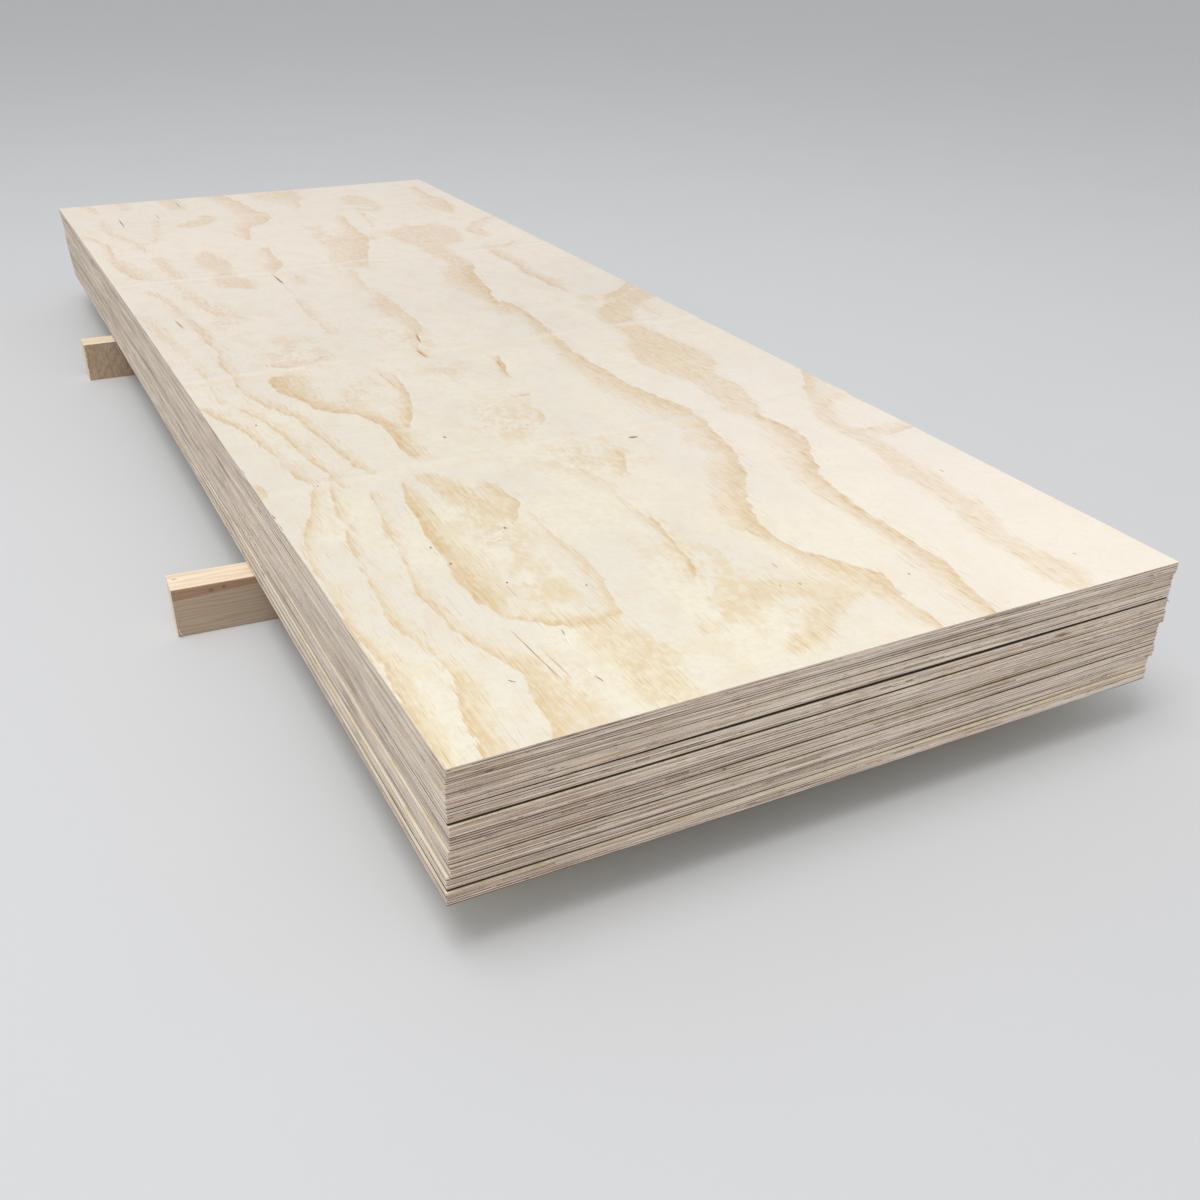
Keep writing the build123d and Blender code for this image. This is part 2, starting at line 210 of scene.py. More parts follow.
# Latewood of the top veneer, band by band: how dark, which side is the sharp one
# (-1 the left, 1 the right), and its course as (across, along, half its width)
VENEER_BANDS = (
    (0.5, -1, (
        (74, 620, 4), (59, 570, 5), (37, 514, 4), (18, 470, 5), (9, 400, 4), (7, 282, 5), (15, 182, 7),
        (7, 82, 8), (5, -5, 10),
    )),
    (0.55, -1, (
        (99, 640, 3), (74, 520, 3), (60, 407, 3), (50, 300, 4), (49, 257, 6), (60, 190, 4), (69, 132, 10),
        (60, 80, 12), (49, -5, 14),
    )),
    (0.55, -1, (
        (128, 560, 3), (115, 457, 4), (102, 370, 4), (93, 300, 7), (99, 220, 7), (112, 170, 6),
        (134, 110, 12), (130, 26, 17), (118, -5, 18),
    )),
    (0.9, -1, (
        (174, 572, 7), (168, 495, 12), (159, 432, 12), (159, 370, 14), (157, 307, 20), (157, 257, 19),
        (153, 216, 6),
    )),
    (0.5, 0, ((209, 580, 12), (224, 526, 20), (234, 476, 18), (250, 440, 10))),
    (0.5, 1, ((262, 520, 14), (266, 464, 15), (256, 426, 6))),
    (0.4, 1, ((281, 430, 4), (275, 345, 4), (279, 282, 7), (268, 220, 8), (256, 176, 9))),
    (0.8, -1, ((154, 217, 6), (184, 195, 9), (209, 179, 10), (237, 173, 10), (259, 172, 5))),
    (0.3, 0, ((234, 145, 26), (231, 80, 24), (234, 20, 24), (236, -5, 22))),
    (0.2, 0, ((399, 557, 2), (399, 382, 3))),
    (0.7, 1, ((399, 382, 3), (402, 339, 4), (393, 289, 5), (387, 245, 6), (372, 204, 4))),
    (0.6, 1, ((468, 557, 6), (459, 532, 10), (449, 514, 10), (437, 484, 3))),
    (0.4, 0, ((326, 100, 6), (375, 120, 10), (430, 148, 16), (470, 130, 18), (500, 110, 18))),
    (0.6, 0, ((390, 36, 10), (430, 50, 12), (465, 84, 12), (500, 100, 14))),
    (0.7, 1, (
        (622, 660, 20), (617, 601, 15), (606, 545, 22), (595, 482, 18), (572, 440, 24), (548, 405, 20),
        (517, 345, 24), (500, 300, 18), (503, 250, 11), (511, 200, 12), (524, 160, 18), (538, 120, 28),
        (545, 70, 12), (544, 10, 8), (544, -5, 8),
    )),
    (0.8, 1, (
        (718, 640, 24), (711, 582, 13), (716, 539, 20), (708, 495, 26), (688, 451, 20), (665, 410, 24),
        (653, 376, 14), (648, 330, 14), (640, 280, 14), (640, 195, 14), (634, 140, 16), (631, 101, 17),
        (622, 57, 14), (612, 5, 10), (612, -5, 9),
    )),
    (0.6, 0, (
        (880, 612, 12), (850, 612, 14), (821, 570, 16), (804, 532, 12), (804, 495, 14), (806, 440, 14),
        (800, 395, 15), (790, 330, 24), (784, 280, 17), (781, 220, 19), (768, 182, 24), (752, 140, 16),
        (752, 90, 18), (756, 40, 26), (752, 15, 18),
    )),
    (0.5, 1, ((810, 480, 12), (852, 466, 15), (886, 470, 14))),
    (0.3, -1, ((34, 1230, 4), (37, 1142, 4), (43, 1080, 5), (37, 1020, 3), (36, 955, 4), (58, 917, 4))),
    (0.7, -1, (
        (58, 917, 4), (71, 867, 5), (84, 810, 6), (90, 736, 5), (96, 680, 6), (102, 640, 5),
        (104, 600, 4),
    )),
    (0.6, -1, (
        (8, 940, 6), (14, 920, 9), (24, 892, 6), (37, 855, 5), (46, 805, 5), (52, 755, 4), (57, 699, 4),
        (64, 650, 5), (74, 618, 4),
    )),
    (0.6, -1, (
        (84, 1230, 5), (87, 1185, 5), (77, 1117, 6), (82, 1060, 4), (74, 1010, 5), (78, 970, 6),
        (93, 930, 7), (109, 892, 8), (122, 855, 9), (127, 805, 8), (133, 735, 5), (143, 660, 6),
        (150, 622, 4),
    )),
    (0.7, -1, ((134, 1095, 7), (171, 1080, 14), (190, 1068, 8), (206, 1074, 8), (229, 1096, 7))),
    (0.9, -1, (
        (150, 1004, 34), (146, 970, 24), (152, 936, 14), (160, 905, 12), (168, 880, 20), (186, 862, 20),
        (208, 832, 10), (222, 800, 11), (231, 768, 17), (230, 740, 15), (226, 690, 13), (226, 664, 15),
        (222, 648, 10),
    )),
    (0.7, 1, ((302, 985, 3), (296, 930, 5), (288, 886, 6), (274, 842, 10), (259, 799, 12), (241, 761, 9))),
    (0.5, 0, ((290, 1005, 2), (286, 911, 2))),
    (0.4, 0, ((208, 940, 3), (212, 880, 4), (214, 830, 5))),
    (0.9, 1, ((482, 986, 5), (472, 955, 8), (462, 917, 5), (459, 882, 4))),
    (0.6, 1, ((448, 808, 8), (436, 806, 6))),
    (0.5, 1, ((430, 770, 4), (434, 735, 5), (425, 700, 4))),
    (0.7, 1, ((402, 1150, 4), (390, 1105, 4), (377, 1067, 4), (377, 1036, 3), (392, 1022, 5))),
    (0.4, 1, ((420, 1230, 18), (418, 1190, 12), (404, 1150, 6))),
    (0.6, 1, (
        (615, 1250, 22), (627, 1200, 10), (622, 1150, 9), (613, 1100, 11), (606, 1042, 12),
        (598, 980, 11), (592, 917, 17), (592, 855, 22), (592, 780, 24), (600, 720, 26), (612, 660, 30),
        (616, 605, 24),
    )),
    (0.6, 0, (
        (900, 1232, 24), (859, 1203, 28), (820, 1170, 26), (780, 1136, 32), (763, 1086, 26),
        (759, 1042, 25), (757, 992, 29), (752, 949, 42), (744, 905, 54), (742, 862, 62), (738, 825, 50),
        (736, 780, 30), (736, 720, 28), (727, 660, 27), (715, 617, 25),
    )),
    (0.6, 1, ((780, 850, 14), (786, 825, 16), (778, 808, 8))),
    (0.4, 0, ((845, 1150, 6), (844, 1110, 8), (846, 1080, 4))),
    (0.6, -1, ((905, 720, 10), (890, 690, 14), (866, 648, 18), (846, 612, 14))),
    (0.5, 1, ((3, 640, 8), (2, 610, 7))),
    (0.5, -1, ((37, 1850, 13), (49, 1790, 18), (56, 1746, 20), (58, 1718, 20))),
    (0.7, -1, ((40, 1714, 5), (58, 1700, 7), (76, 1684, 6), (82, 1668, 4))),
    (0.6, 0, (
        (52, 1604, 3), (52, 1590, 6), (60, 1570, 5), (68, 1527, 6), (75, 1465, 5), (73, 1430, 4),
        (81, 1377, 6), (87, 1309, 6), (84, 1246, 7),
    )),
    (0.4, 0, ((12, 1440, 5), (18, 1377, 7), (21, 1309, 7), (31, 1246, 6), (34, 1215, 5))),
    (0.6, 0, ((118, 1850, 11), (115, 1777, 10), (118, 1727, 10), (124, 1695, 12), (122, 1684, 6))),
    (0.3, 0, ((110, 1655, 2), (108, 1590, 3))),
    (0.4, 0, (
        (118, 1565, 8), (116, 1515, 12), (121, 1465, 12), (140, 1400, 5), (158, 1415, 4), (168, 1352, 4),
    )),
    (0.6, 0, (
        (216, 1862, 8), (206, 1815, 24), (212, 1765, 32), (208, 1718, 20), (214, 1680, 12),
        (200, 1640, 20), (210, 1600, 36), (226, 1570, 18), (236, 1540, 3),
    )),
    (0.6, 1, (
        (331, 1850, 8), (325, 1790, 12), (321, 1746, 15), (312, 1702, 18), (298, 1659, 12),
        (289, 1636, 3),
    )),
    (0.4, 0, ((332, 1595, 10), (322, 1556, 16))),
    (0.3, -1, ((288, 1440, 6), (285, 1380, 8), (281, 1320, 5), (283, 1215, 7))),
    (0.5, 1, (
        (501, 1850, 46), (496, 1790, 44), (479, 1746, 42), (466, 1702, 38), (458, 1665, 36),
        (471, 1630, 16), (474, 1615, 8),
    )),
    (0.3, 1, (
        (437, 1600, 10), (427, 1527, 9), (421, 1465, 9), (427, 1402, 10), (415, 1340, 26),
        (415, 1277, 20), (424, 1215, 10),
    )),
    (0.5, 0, (
        (690, 1850, 78), (684, 1790, 66), (662, 1746, 34), (656, 1715, 24), (653, 1677, 25),
        (660, 1634, 20), (663, 1577, 20), (648, 1540, 26),
    )),
    (0.8, 1, (
        (648, 1540, 26), (624, 1490, 30), (617, 1440, 33), (613, 1402, 29), (611, 1352, 23),
        (604, 1309, 14), (602, 1246, 12), (606, 1215, 18),
    )),
    (0.5, 0, ((803, 1850, 15), (803, 1785, 15))),
    (0.5, -1, (
        (836, 1696, 8), (808, 1660, 12), (768, 1664, 16), (765, 1630, 14), (760, 1590, 13),
        (770, 1540, 14), (764, 1490, 12), (756, 1440, 13), (767, 1390, 15), (766, 1345, 15),
        (762, 1290, 6),
    )),
    (0.6, 1, ((774, 1370, 8), (766, 1330, 9))),
    (0.5, -1, ((900, 1290, 14), (870, 1248, 20), (830, 1222, 22))),
    (0.6, 1, ((9, 2112, 6), (24, 2062, 6), (37, 2012, 6), (37, 1950, 5), (31, 1887, 6), (34, 1830, 8))),
    (0.7, 0, ((59, 2440, 8), (68, 2387, 8), (71, 2337, 4))),
    (0.5, 0, (
        (71, 2275, 5), (65, 2200, 7), (64, 2120, 7), (84, 2056, 8), (96, 2012, 7), (102, 1956, 5),
        (109, 1912, 4),
    )),
    (0.4, 0, ((177, 2210, 7), (165, 2112, 4), (156, 2050, 4), (136, 1996, 6), (112, 1990, 8))),
    (0.4, 0, ((140, 2440, 12), (138, 2356, 11))),
    (0.5, 0, ((243, 2445, 24), (252, 2325, 20))),
    (1.0, 0, ((236, 2133, 18), (256, 2142, 24), (274, 2158, 24), (292, 2190, 16), (286, 2214, 10))),
    (0.6, 1, (
        (359, 2445, 20), (377, 2356, 25), (381, 2294, 25), (384, 2231, 26), (393, 2181, 34),
        (390, 2137, 30), (366, 2100, 30), (336, 2062, 18), (326, 2012, 14), (320, 1950, 9),
    )),
    (0.4, 1, ((500, 2445, 56), (503, 2387, 52), (515, 2325, 36), (512, 2290, 22), (508, 2235, 12))),
    (0.6, 1, ((568, 2085, 14), (556, 2012, 12), (552, 1950, 14), (540, 1887, 24), (524, 1835, 34))),
    (0.5, 0, ((665, 2290, 22), (665, 2225, 36), (668, 2187, 24))),
    (0.6, 0, ((634, 2160, 8), (640, 2140, 10), (665, 2122, 10), (690, 2150, 10))),
    (0.5, 1, ((627, 2100, 4), (615, 2012, 5), (606, 1956, 5))),
    (0.6, 1, (
        (846, 2345, 12), (840, 2244, 12), (834, 2181, 30), (824, 2137, 38), (818, 2100, 36),
        (824, 2062, 20), (821, 2019, 8),
    )),
    (0.4, -1, ((892, 1940, 10), (840, 1906, 12), (809, 1856, 15), (796, 1825, 16))),
)
# Broad, streaky tan patches of the top veneer: across, along, half width, half length
VENEER_PATCHES = (
    (221, 390, 55, 150),
    (216, 255, 62, 100),
    (440, 110, 70, 80),
    (262, 90, 40, 60),
    (228, 60, 40, 100),
    (400, 180, 90, 180),
    (150, 60, 40, 110),
    (200, 1150, 90, 110),
    (385, 1140, 55, 110),
    (392, 945, 65, 75),
    (380, 720, 80, 120),
    (240, 930, 45, 80),
    (415, 1330, 35, 90),
    (135, 1380, 32, 190),
    (560, 1850, 180, 60),
    (700, 1890, 100, 70),
    (500, 2380, 80, 90),
    (480, 1930, 60, 120),
    (740, 900, 70, 90),
    (440, 560, 110, 90),
    (800, 1230, 70, 40),
)
# Small marks on the top veneer: across, along, width, length, turn in degrees, colour, strength
VENEER_MARKS = (
    (514, 590, 5, 15, 78, "mark", 0.8),
    (237, 405, 2.6, 5, 0, "mark", 1.0),
    (140, 394, 2.6, 4, 0, "mark", 0.9),
    (146, 348, 2.4, 4, 0, "mark", 0.8),
    (184, 281, 2.6, 4, 0, "mark", 0.9),
    (259, 239, 3, 4, 0, "mark", 0.7),
    (108, 101, 1.8, 9, 40, "mark", 0.8),
    (595, 109, 3, 5, 0, "mark", 0.7),
    (804, 67, 4, 5, 0, "stain", 0.4),
    (449, 148, 3.4, 6, 0, "stain", 0.5),
    (471, 190, 2.6, 14, 0, "stain", 0.5),
    (471, 142, 3.4, 6, 0, "stain", 0.5),
    (828, 320, 3, 10, 0, "stain", 0.4),
    (149, 133, 1.5, 112, 3, "pitch", 0.75),
    (160, 112, 1.3, 60, 3, "pitch", 0.5),
    (192, 160, 1.6, 14, -8, "stain", 0.9),
    (190, 145, 1.6, 20, -8, "pale", 0.9),
    (176, 91, 2.0, 32, 25, "pale", 1.0),
    (183, 84, 1.6, 16, 8, "pale", 0.9),
    (185, 69, 1.8, 14, 12, "stain", 0.9),
    (178, 88, 1.2, 26, 25, "stain", 0.35),
    (227, 398, 1.8, 24, -58, "pale", 0.9),
    (217, 381, 1.8, 20, -72, "pale", 0.9),
    (292, 1590, 3.6, 84, 1, "pitch", 1.0),
    (290, 1500, 1.6, 120, 0, "pitch", 0.3),
    (60, 1370, 3.2, 60, 4, "pitch", 0.9),
    (105, 2220, 3.2, 104, -2, "pitch", 0.85),
    (403, 1130, 3.4, 56, -12, "pitch", 0.8),
    (378, 1052, 4, 44, 4, "pitch", 0.8),
    (473, 956, 3, 30, -8, "pitch", 0.6),
    (286, 950, 2, 90, 2, "pitch", 0.4),
    (627, 1174, 2.4, 50, -4, "pitch", 0.5),
    (260, 2370, 3, 90, -2, "mark", 0.45),
    (191, 2256, 3, 60, -2, "mark", 0.35),
    (278, 698, 3.4, 8, 0, "mark", 0.8),
    (74, 612, 3, 4, 0, "mark", 0.6),
    (58, 849, 3, 6, 0, "mark", 0.8),
    (643, 2075, 2.4, 120, 0, "pale", 0.7),
    (768, 799, 2.0, 40, 30, "pale", 0.8),
)
# Ripples that cross the top sheet: distance from the near end, half its width, height
CROSS_RIPPLES = (
    (379, 16, 0.3),
    (622, 18, 0.6),
    (840, 14, 0.25),
    (1064, 20, 0.75),
    (1662, 22, 0.75),
    (2190, 22, 0.5),
)
# Splinters that stand out of the pieces: piece, place from its lower near left corner, length,
# and where each points as (right, back, up)
SPLINTERS = (
    ("sheet_07", (897, 1, 14.2), 17, (0.75, 0.05, -0.55)),
    ("sheet_10", (1.5, 313, 14.2), 9, (-0.2, 0.45, 0.1)),
    ("sheet_10", (1.2, 548, 13.6), 8, (-0.3, 0.9, -0.1)),
    ("sheet_10", (1.2, 937, 13.8), 10, (-0.25, -0.9, -0.1)),
    ("sheet_10", (35, 1, 9.0), 6, (0.8, -0.35, -0.4)),
    ("sheet_08", (60, 1, 9.4), 5, (-0.8, -0.4, 0.2)),
    ("sheet_10", (899, 590, 13.9), 9, (0.15, 0.95, -0.1)),
    ("sheet_04", (779, 1, 14.3), 5, (0.3, -0.4, 0.7)),
    ("bearer_front", (1.8, 0.6, 49), 7, (0.12, -0.5, -0.85)),
    ("bearer_front", (1.8, 0.6, 37), 10, (0.12, -0.45, -0.9)),
    ("bearer_front", (1.8, 0.6, 25), 8, (0.14, -0.6, -0.75)),
    ("bearer_front", (1.8, 0.6, 12), 9, (0.14, -0.7, -0.5)),
    ("bearer_front", (2.6, 0.6, 5), 7, (0.5, -0.8, -0.2)),
)
# Knots of the planed bearer: place in it, radii and strength
PLANED_KNOTS = (
    ((-449, -24, 61.5), (4.2, 4, 3.4), 0.5),
    ((-432, -24, 63.5), (3.8, 4, 3.0), 0.5),
    ((-491, 8, 70.5), (4.5, 1.8, 2), 0.6),
    ((-505, -24, 55), (6, 3, 2.2), 0.35),
)
# Depths of the torn notches in the sawn bearer's left end, from the top down
TEAR_DEPTHS = (1.6, 2.6, 1.2, 3.0, 2.0, 1.4, 2.8, 1.8)

# The stage in metres and degrees; the camera stands where the photo was taken
FLOOR_SIZE = 60
LAMP_SIZE = (2.6, 3.6)
LAMP_PLACE = (-1.3, -1.1, 5.3)
CAMERA_PLACE = (-0.6990, -2.0075, 0.8383)
CAMERA_TURN = (58.252, -0.914, -27.353)
CAMERA_SHIFT = (0.0119, 0.0524)


class SheetSettings(bpy.types.PropertyGroup):
    """Sizes and colours of the plywood sheets."""

    ply_count: IntProperty(name="Plies", description="Veneers in one sheet", default=5, min=3, max=13)
    thickness: length("Thickness", "Thickness of one sheet", 14.7 * MM)
    corner_wear: length("Corner wear", "Radius of the worn upright corners", 1.5 * MM)
    glue_line: length("Glue line", "Height of the seam between two plies", 0.3 * MM)
    ply_step: length("Ply step", "How far one ply's edge may lie behind the next", 0.35 * MM)
    saw_wave: length("Saw wave", "How far the saw's cut wanders along a ply", 0.35 * MM)
    void_height: length("Void height", "Height of a slot in an edge", 1.8 * MM)
    void_depth: length("Void depth", "Depth of a slot in an edge", 5.0 * MM)
    coarse_cell: length("Hidden cell", "Size of the mesh cells on faces that lie hidden", 50 * MM)
    fine_across: length("Cell across", "Width of the mesh cells on the top face", 5 * MM)
    fine_along: length("Cell along", "Length of the mesh cells on the top face", 12.2 * MM)
    edge_cell: length("Edge cell", "Length of the mesh cells along the edges", 5.6 * MM)
    cream: colour("Cream", "Pale earlywood of the face veneer near the front", from_srgb(242, 235, 213))
    # This pale earlywood toward the far end carries painted sheen: it is cooler and rosier than the near
    # end's
    far_cream_with_sheen: colour("Blush", "Pale earlywood of the face veneer toward the far end", from_srgb(238, 228, 217))
    cool: colour("Cool cream", "Paler, less yellow places of the face veneer", from_srgb(233, 227, 213))
    # Painted light: this colour makes the face veneer palest at its near right corner
    bright: colour("Bright cream", "Palest face veneer, near its right corner", from_srgb(255, 245, 233))
    # Painted shade: this tint darkens the face veneer halfway along
    shade: colour("Shade", "Tint of the face veneer halfway along", (0.92, 0.92, 0.94))
    tan: colour("Tan", "Latewood of the face veneer near the front", from_srgb(231, 212, 176))
    # This latewood toward the far end carries painted sheen as well
    far_tan_with_sheen: colour("Rose", "Latewood of the face veneer toward the far end", from_srgb(228, 208, 186))
    orange: colour("Orange", "The darkest latewood of the face veneer", from_srgb(212, 174, 116))
    mark: colour("Mark", "Small dark marks on the face veneer", from_srgb(58, 40, 18))
    pitch: colour("Pitch", "Reddish pitch streaks on the face veneer", from_srgb(172, 102, 34))
    pale: colour("Scratch", "Pale scratches on the face veneer", from_srgb(253, 246, 226))
    edge_light: colour("Light ply", "Lightest wood in the sawn edges", from_srgb(255, 241, 224))
    edge_dark: colour("Dark ply", "Darkest wood in the sawn edges", from_srgb(164, 122, 98))
    glue: colour("Glue", "Glue seams and torn spots in the sawn edges", from_srgb(72, 41, 22))
    resin: colour("Resin", "Yellowish streaks in the sawn edges", from_srgb(232, 200, 140))
    straw: colour("Straw", "Pale yellow plies in the sawn edges", from_srgb(255, 227, 174))
    stain: colour("Stain", "Reddish brown stains in the sawn edges", from_srgb(150, 108, 80))
    # Painted shade in the joints between two sheets, on the rims and in the edges
    joint_shade: colour("Dust", "Dust in the joints between two sheets", from_srgb(46, 25, 11))


class BearerSettings(bpy.types.PropertyGroup):
    """Sizes and colours of the two bearers."""

    eased_edge: length("Eased edge", "Radius of the planed bearer's edges", 2.0 * MM)
    cell: length("Cell", "Size of the mesh cells along a bearer", 6 * MM)
    sawn_edge: length("Sawn edge", "Chamfer of the sawn bearer's edges", 0.6 * MM)
    tear_pitch: length("Tear pitch", "Distance between the notches in the sawn bearer's end", 7.4 * MM)
    tear_reach: length("Tear reach", "How far the notches reach in from the near face", 9 * MM)
    tears_below_top: length("Tears below top", "Distance of the uppermost notch from the top", 2.2 * MM)
    band: colour("Band", "Tint of the reddish band on the planed bearer", from_srgb(228, 204, 190))
    # Painted shade: this tint darkens the planed bearer's near face
    near_face_shade: colour("Grime", "Tint of the planed bearer's handled side", from_srgb(194, 187, 183))
    planed: colour("Planed wood", "Pale wood of both bearers", from_srgb(248, 232, 208))
    planed_dark: colour("Planed heartwood", "Latewood of both bearers", from_srgb(220, 190, 154))
    sawn: colour("Sawn wood", "Brown wood of the sawn bearer", from_srgb(190, 164, 137))
    # These saw marks and stains also give the painted shade inside the torn notches
    sawn_marks_and_notch_shade: colour("Sawn marks", "Saw marks and stains on the sawn bearer", from_srgb(126, 95, 71))
    knot: colour("Knot", "Knots in the bearers", from_srgb(110, 70, 45))


class StageSettings(bpy.types.PropertyGroup):
    """Floor, light and camera."""

    floor: colour("Floor", "Plain pale floor", from_srgb(214, 215, 217))
    sky_strength: FloatProperty(name="Sky", description="Strength of the even light", default=0.62, min=0)
    lamp_power: FloatProperty(
        name="Lamp", description="Power of the large soft lamp", default=150, min=0, unit="POWER"
    )
    lens: FloatProperty(
        name="Lens", description="Focal length for a 36 mm wide picture", default=36.49, min=1
    )


def sheet_settings():
    """The sheets' settings of this scene."""
    return bpy.context.scene.plywood_sheets


def bearer_settings():
    """The bearers' settings of this scene."""
    return bpy.context.scene.plywood_bearers


def stage_settings():
    """The stage's settings of this scene."""
    return bpy.context.scene.plywood_stage


# Places taken from the frame

Lie = namedtuple("Lie", "middle turn size")


def turned(x, y, angle):
    """A place, or many, turned round the origin."""
    return x * math.cos(angle) - y * math.sin(angle), x * math.sin(angle) + y * math.cos(angle)


def lie_of(name):
    """Middle, turn and size of a node: a sheet runs about along Y, and a bearer about along X."""
    points = np.array([vertex.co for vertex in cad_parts[name].data.vertices])
    x, y = points[:, 0], points[:, 1]
    near_left = points[np.argmax(-x - y)]
    if name in SHEETS:
        course = points[np.argmax(y - x)] - near_left
        turn = math.atan2(-course[0], course[1])
    else:
        course = points[np.argmax(x - y)] - near_left
        turn = math.atan2(course[1], course[0])
    squared_x, squared_y = turned(x, y, -turn)
    middle_x = (squared_x.min() + squared_x.max()) / 2
    middle_y = (squared_y.min() + squared_y.max()) / 2
    middle = Vector((*turned(middle_x, middle_y, turn), points[:, 2].min()))
    return Lie(middle, turn, Vector((np.ptp(squared_x), np.ptp(squared_y), np.ptp(points[:, 2]))))


# Modelling helpers


def deselect():
    """Select no object."""
    bpy.ops.object.select_all(action="DESELECT")


def enter_edit(piece, kind):
    """Open one piece in edit mode with nothing selected, to pick parts of one kind."""
    deselect()
    piece.select_set(True)
    bpy.context.view_layer.objects.active = piece
    bpy.ops.object.mode_set(mode="EDIT")
    bpy.ops.mesh.select_mode(type=kind)
    bpy.ops.mesh.select_all(action="DESELECT")


def leave_edit():
    """Go back to object mode."""
    bpy.ops.object.mode_set(mode="OBJECT")


def pick(piece, kind, wanted):
    """Select only the edges or faces that wanted accepts, and say how many they are."""
    bpy.ops.mesh.select_mode(type=kind)
    bpy.ops.mesh.select_all(action="DESELECT")
    mesh = bmesh.from_edit_mesh(piece.data)
    found = [part for part in (mesh.faces if kind == "FACE" else mesh.edges) if wanted(part)]
    for part in found:
        part.select_set(True)
    bmesh.update_edit_mesh(piece.data)
    return len(found)


def upright(face):
    """Whether a face belongs to a board's edge and not to its upper or lower face."""
    return abs(face.normal.z) < 0.5


def on_rim(edge):
    """Whether both faces at an edge are upright."""
    return edge.is_manifold and all(upright(face) for face in edge.link_faces)


def span(edge, axis):
    """How far an edge reaches along one axis."""
    return abs(edge.verts[0].co[axis] - edge.verts[1].co[axis])


def store(piece, name, values):
    """Keep one number for each vertex, for a material to read."""
    attribute = piece.data.attributes.new(name, "FLOAT", "POINT")
    attribute.data.foreach_set("value", np.asarray(values, np.float32))


def vertex_places(piece):
    """The piece's vertices as rows of X, Y and Z."""
    places = np.empty(len(piece.data.vertices) * 3)
    piece.data.vertices.foreach_get("co", places)
    return places.reshape(-1, 3)


def apply_place(piece):
    """Put the piece's place into its mesh."""
    deselect()
    piece.select_set(True)
    bpy.context.view_layer.objects.active = piece
    bpy.ops.object.transform_apply(location=True, rotation=True, scale=True)


def waver(x, y, z):
    """Smooth noise of about -1 to 1, with one cell a unit."""
    return noise.noise(Vector((x, y, z)))


# Sheets


def flat_board(size, cell_across, cell_along, settings):
    """A closed flat board with its upper face at Z = 0, and a seam round its edges at each glue line."""
    ply = settings.thickness / settings.ply_count
    deselect()
    bpy.ops.mesh.primitive_grid_add(
        x_subdivisions=max(1, round(size.x / cell_across)),
        y_subdivisions=max(1, round(size.y / cell_along)),
        size=1,
    )
    board = bpy.context.object
    board.scale = (size.x, size.y, 1)
    apply_place(board)
    enter_edit(board, "FACE")
    bpy.ops.mesh.select_all(action="SELECT")
    for layer in range(settings.ply_count):
        bpy.ops.mesh.extrude_region_move(TRANSFORM_OT_translate={"value": (0, 0, -ply)})
    bpy.ops.mesh.select_all(action="SELECT")
    bpy.ops.mesh.normals_make_consistent(inside=False)
    pick(board, "EDGE", lambda edge: on_rim(edge) and span(edge, 2) < NEAR)
    bpy.ops.mesh.bevel(offset=settings.glue_line / 2, segments=1, affect="EDGES")
    pick(board, "EDGE", lambda edge: on_rim(edge) and edge.calc_face_angle() > 1)
    bpy.ops.mesh.bevel(offset=settings.corner_wear, segments=2, affect="EDGES")
    for axis, cell in ((0, cell_across), (1, cell_along)):
        across = 1 - axis

        def on_outline(vertex):
            return abs(abs(vertex.co[across]) - size[across] / 2) < NEAR

        def long_edge(edge):
            return all(on_outline(vertex) for vertex in edge.verts) and span(edge, axis) > cell / 2

        cuts = math.ceil(cell / settings.edge_cell) - 1
        if cuts:
            pick(board, "EDGE", long_edge)
            bpy.ops.mesh.subdivide(number_cuts=cuts)
    leave_edit()
    return board


def cut_voids(board, number, size, settings):
    """Sink the slots that missing core veneer leaves in the near end and in the left edge."""
    ply = settings.thickness / settings.ply_count
    margin = (ply - settings.glue_line - settings.void_height) / 2
    enter_edit(board, "FACE")
    for axis, along, rows, inward in (
        (1, 0, NEAR_END_VOIDS, (0, settings.void_depth, 0)),
        (0, 1, LEFT_EDGE_VOIDS, (settings.void_depth, 0, 0)),
    ):
        slots = [
            (place * MM - size[along] / 2, extent * MM / 2, (layer - settings.ply_count - 0.5) * ply)
            for sheet, place, layer, extent in rows
            if sheet == number
        ]

        def in_slot(face):
            middle = face.calc_center_median()
            return face.normal[axis] < -0.9 and any(
                abs(middle[along] - place) <= max(half, settings.edge_cell / 2)
                and abs(middle.z - height) < ply / 4
                for place, half, height in slots
            )

        if pick(board, "FACE", in_slot):
            bpy.ops.mesh.inset(thickness=margin, use_even_offset=True)
            bpy.ops.mesh.extrude_region_move(TRANSFORM_OT_translate={"value": inward})
    leave_edit()


def chip_depth(side, along):
    """How deep the top sheet is chipped on one side (-1 left, 1 right), so far from its near end."""
    depth = 0.0
    for chipped, place, extent, deepest in EDGE_CHIPS:
        share = (along - place * MM) / (extent * MM / 2)
        if chipped == side and abs(share) < 1:
            depth += deepest * MM * (1 - share**2)
    return depth


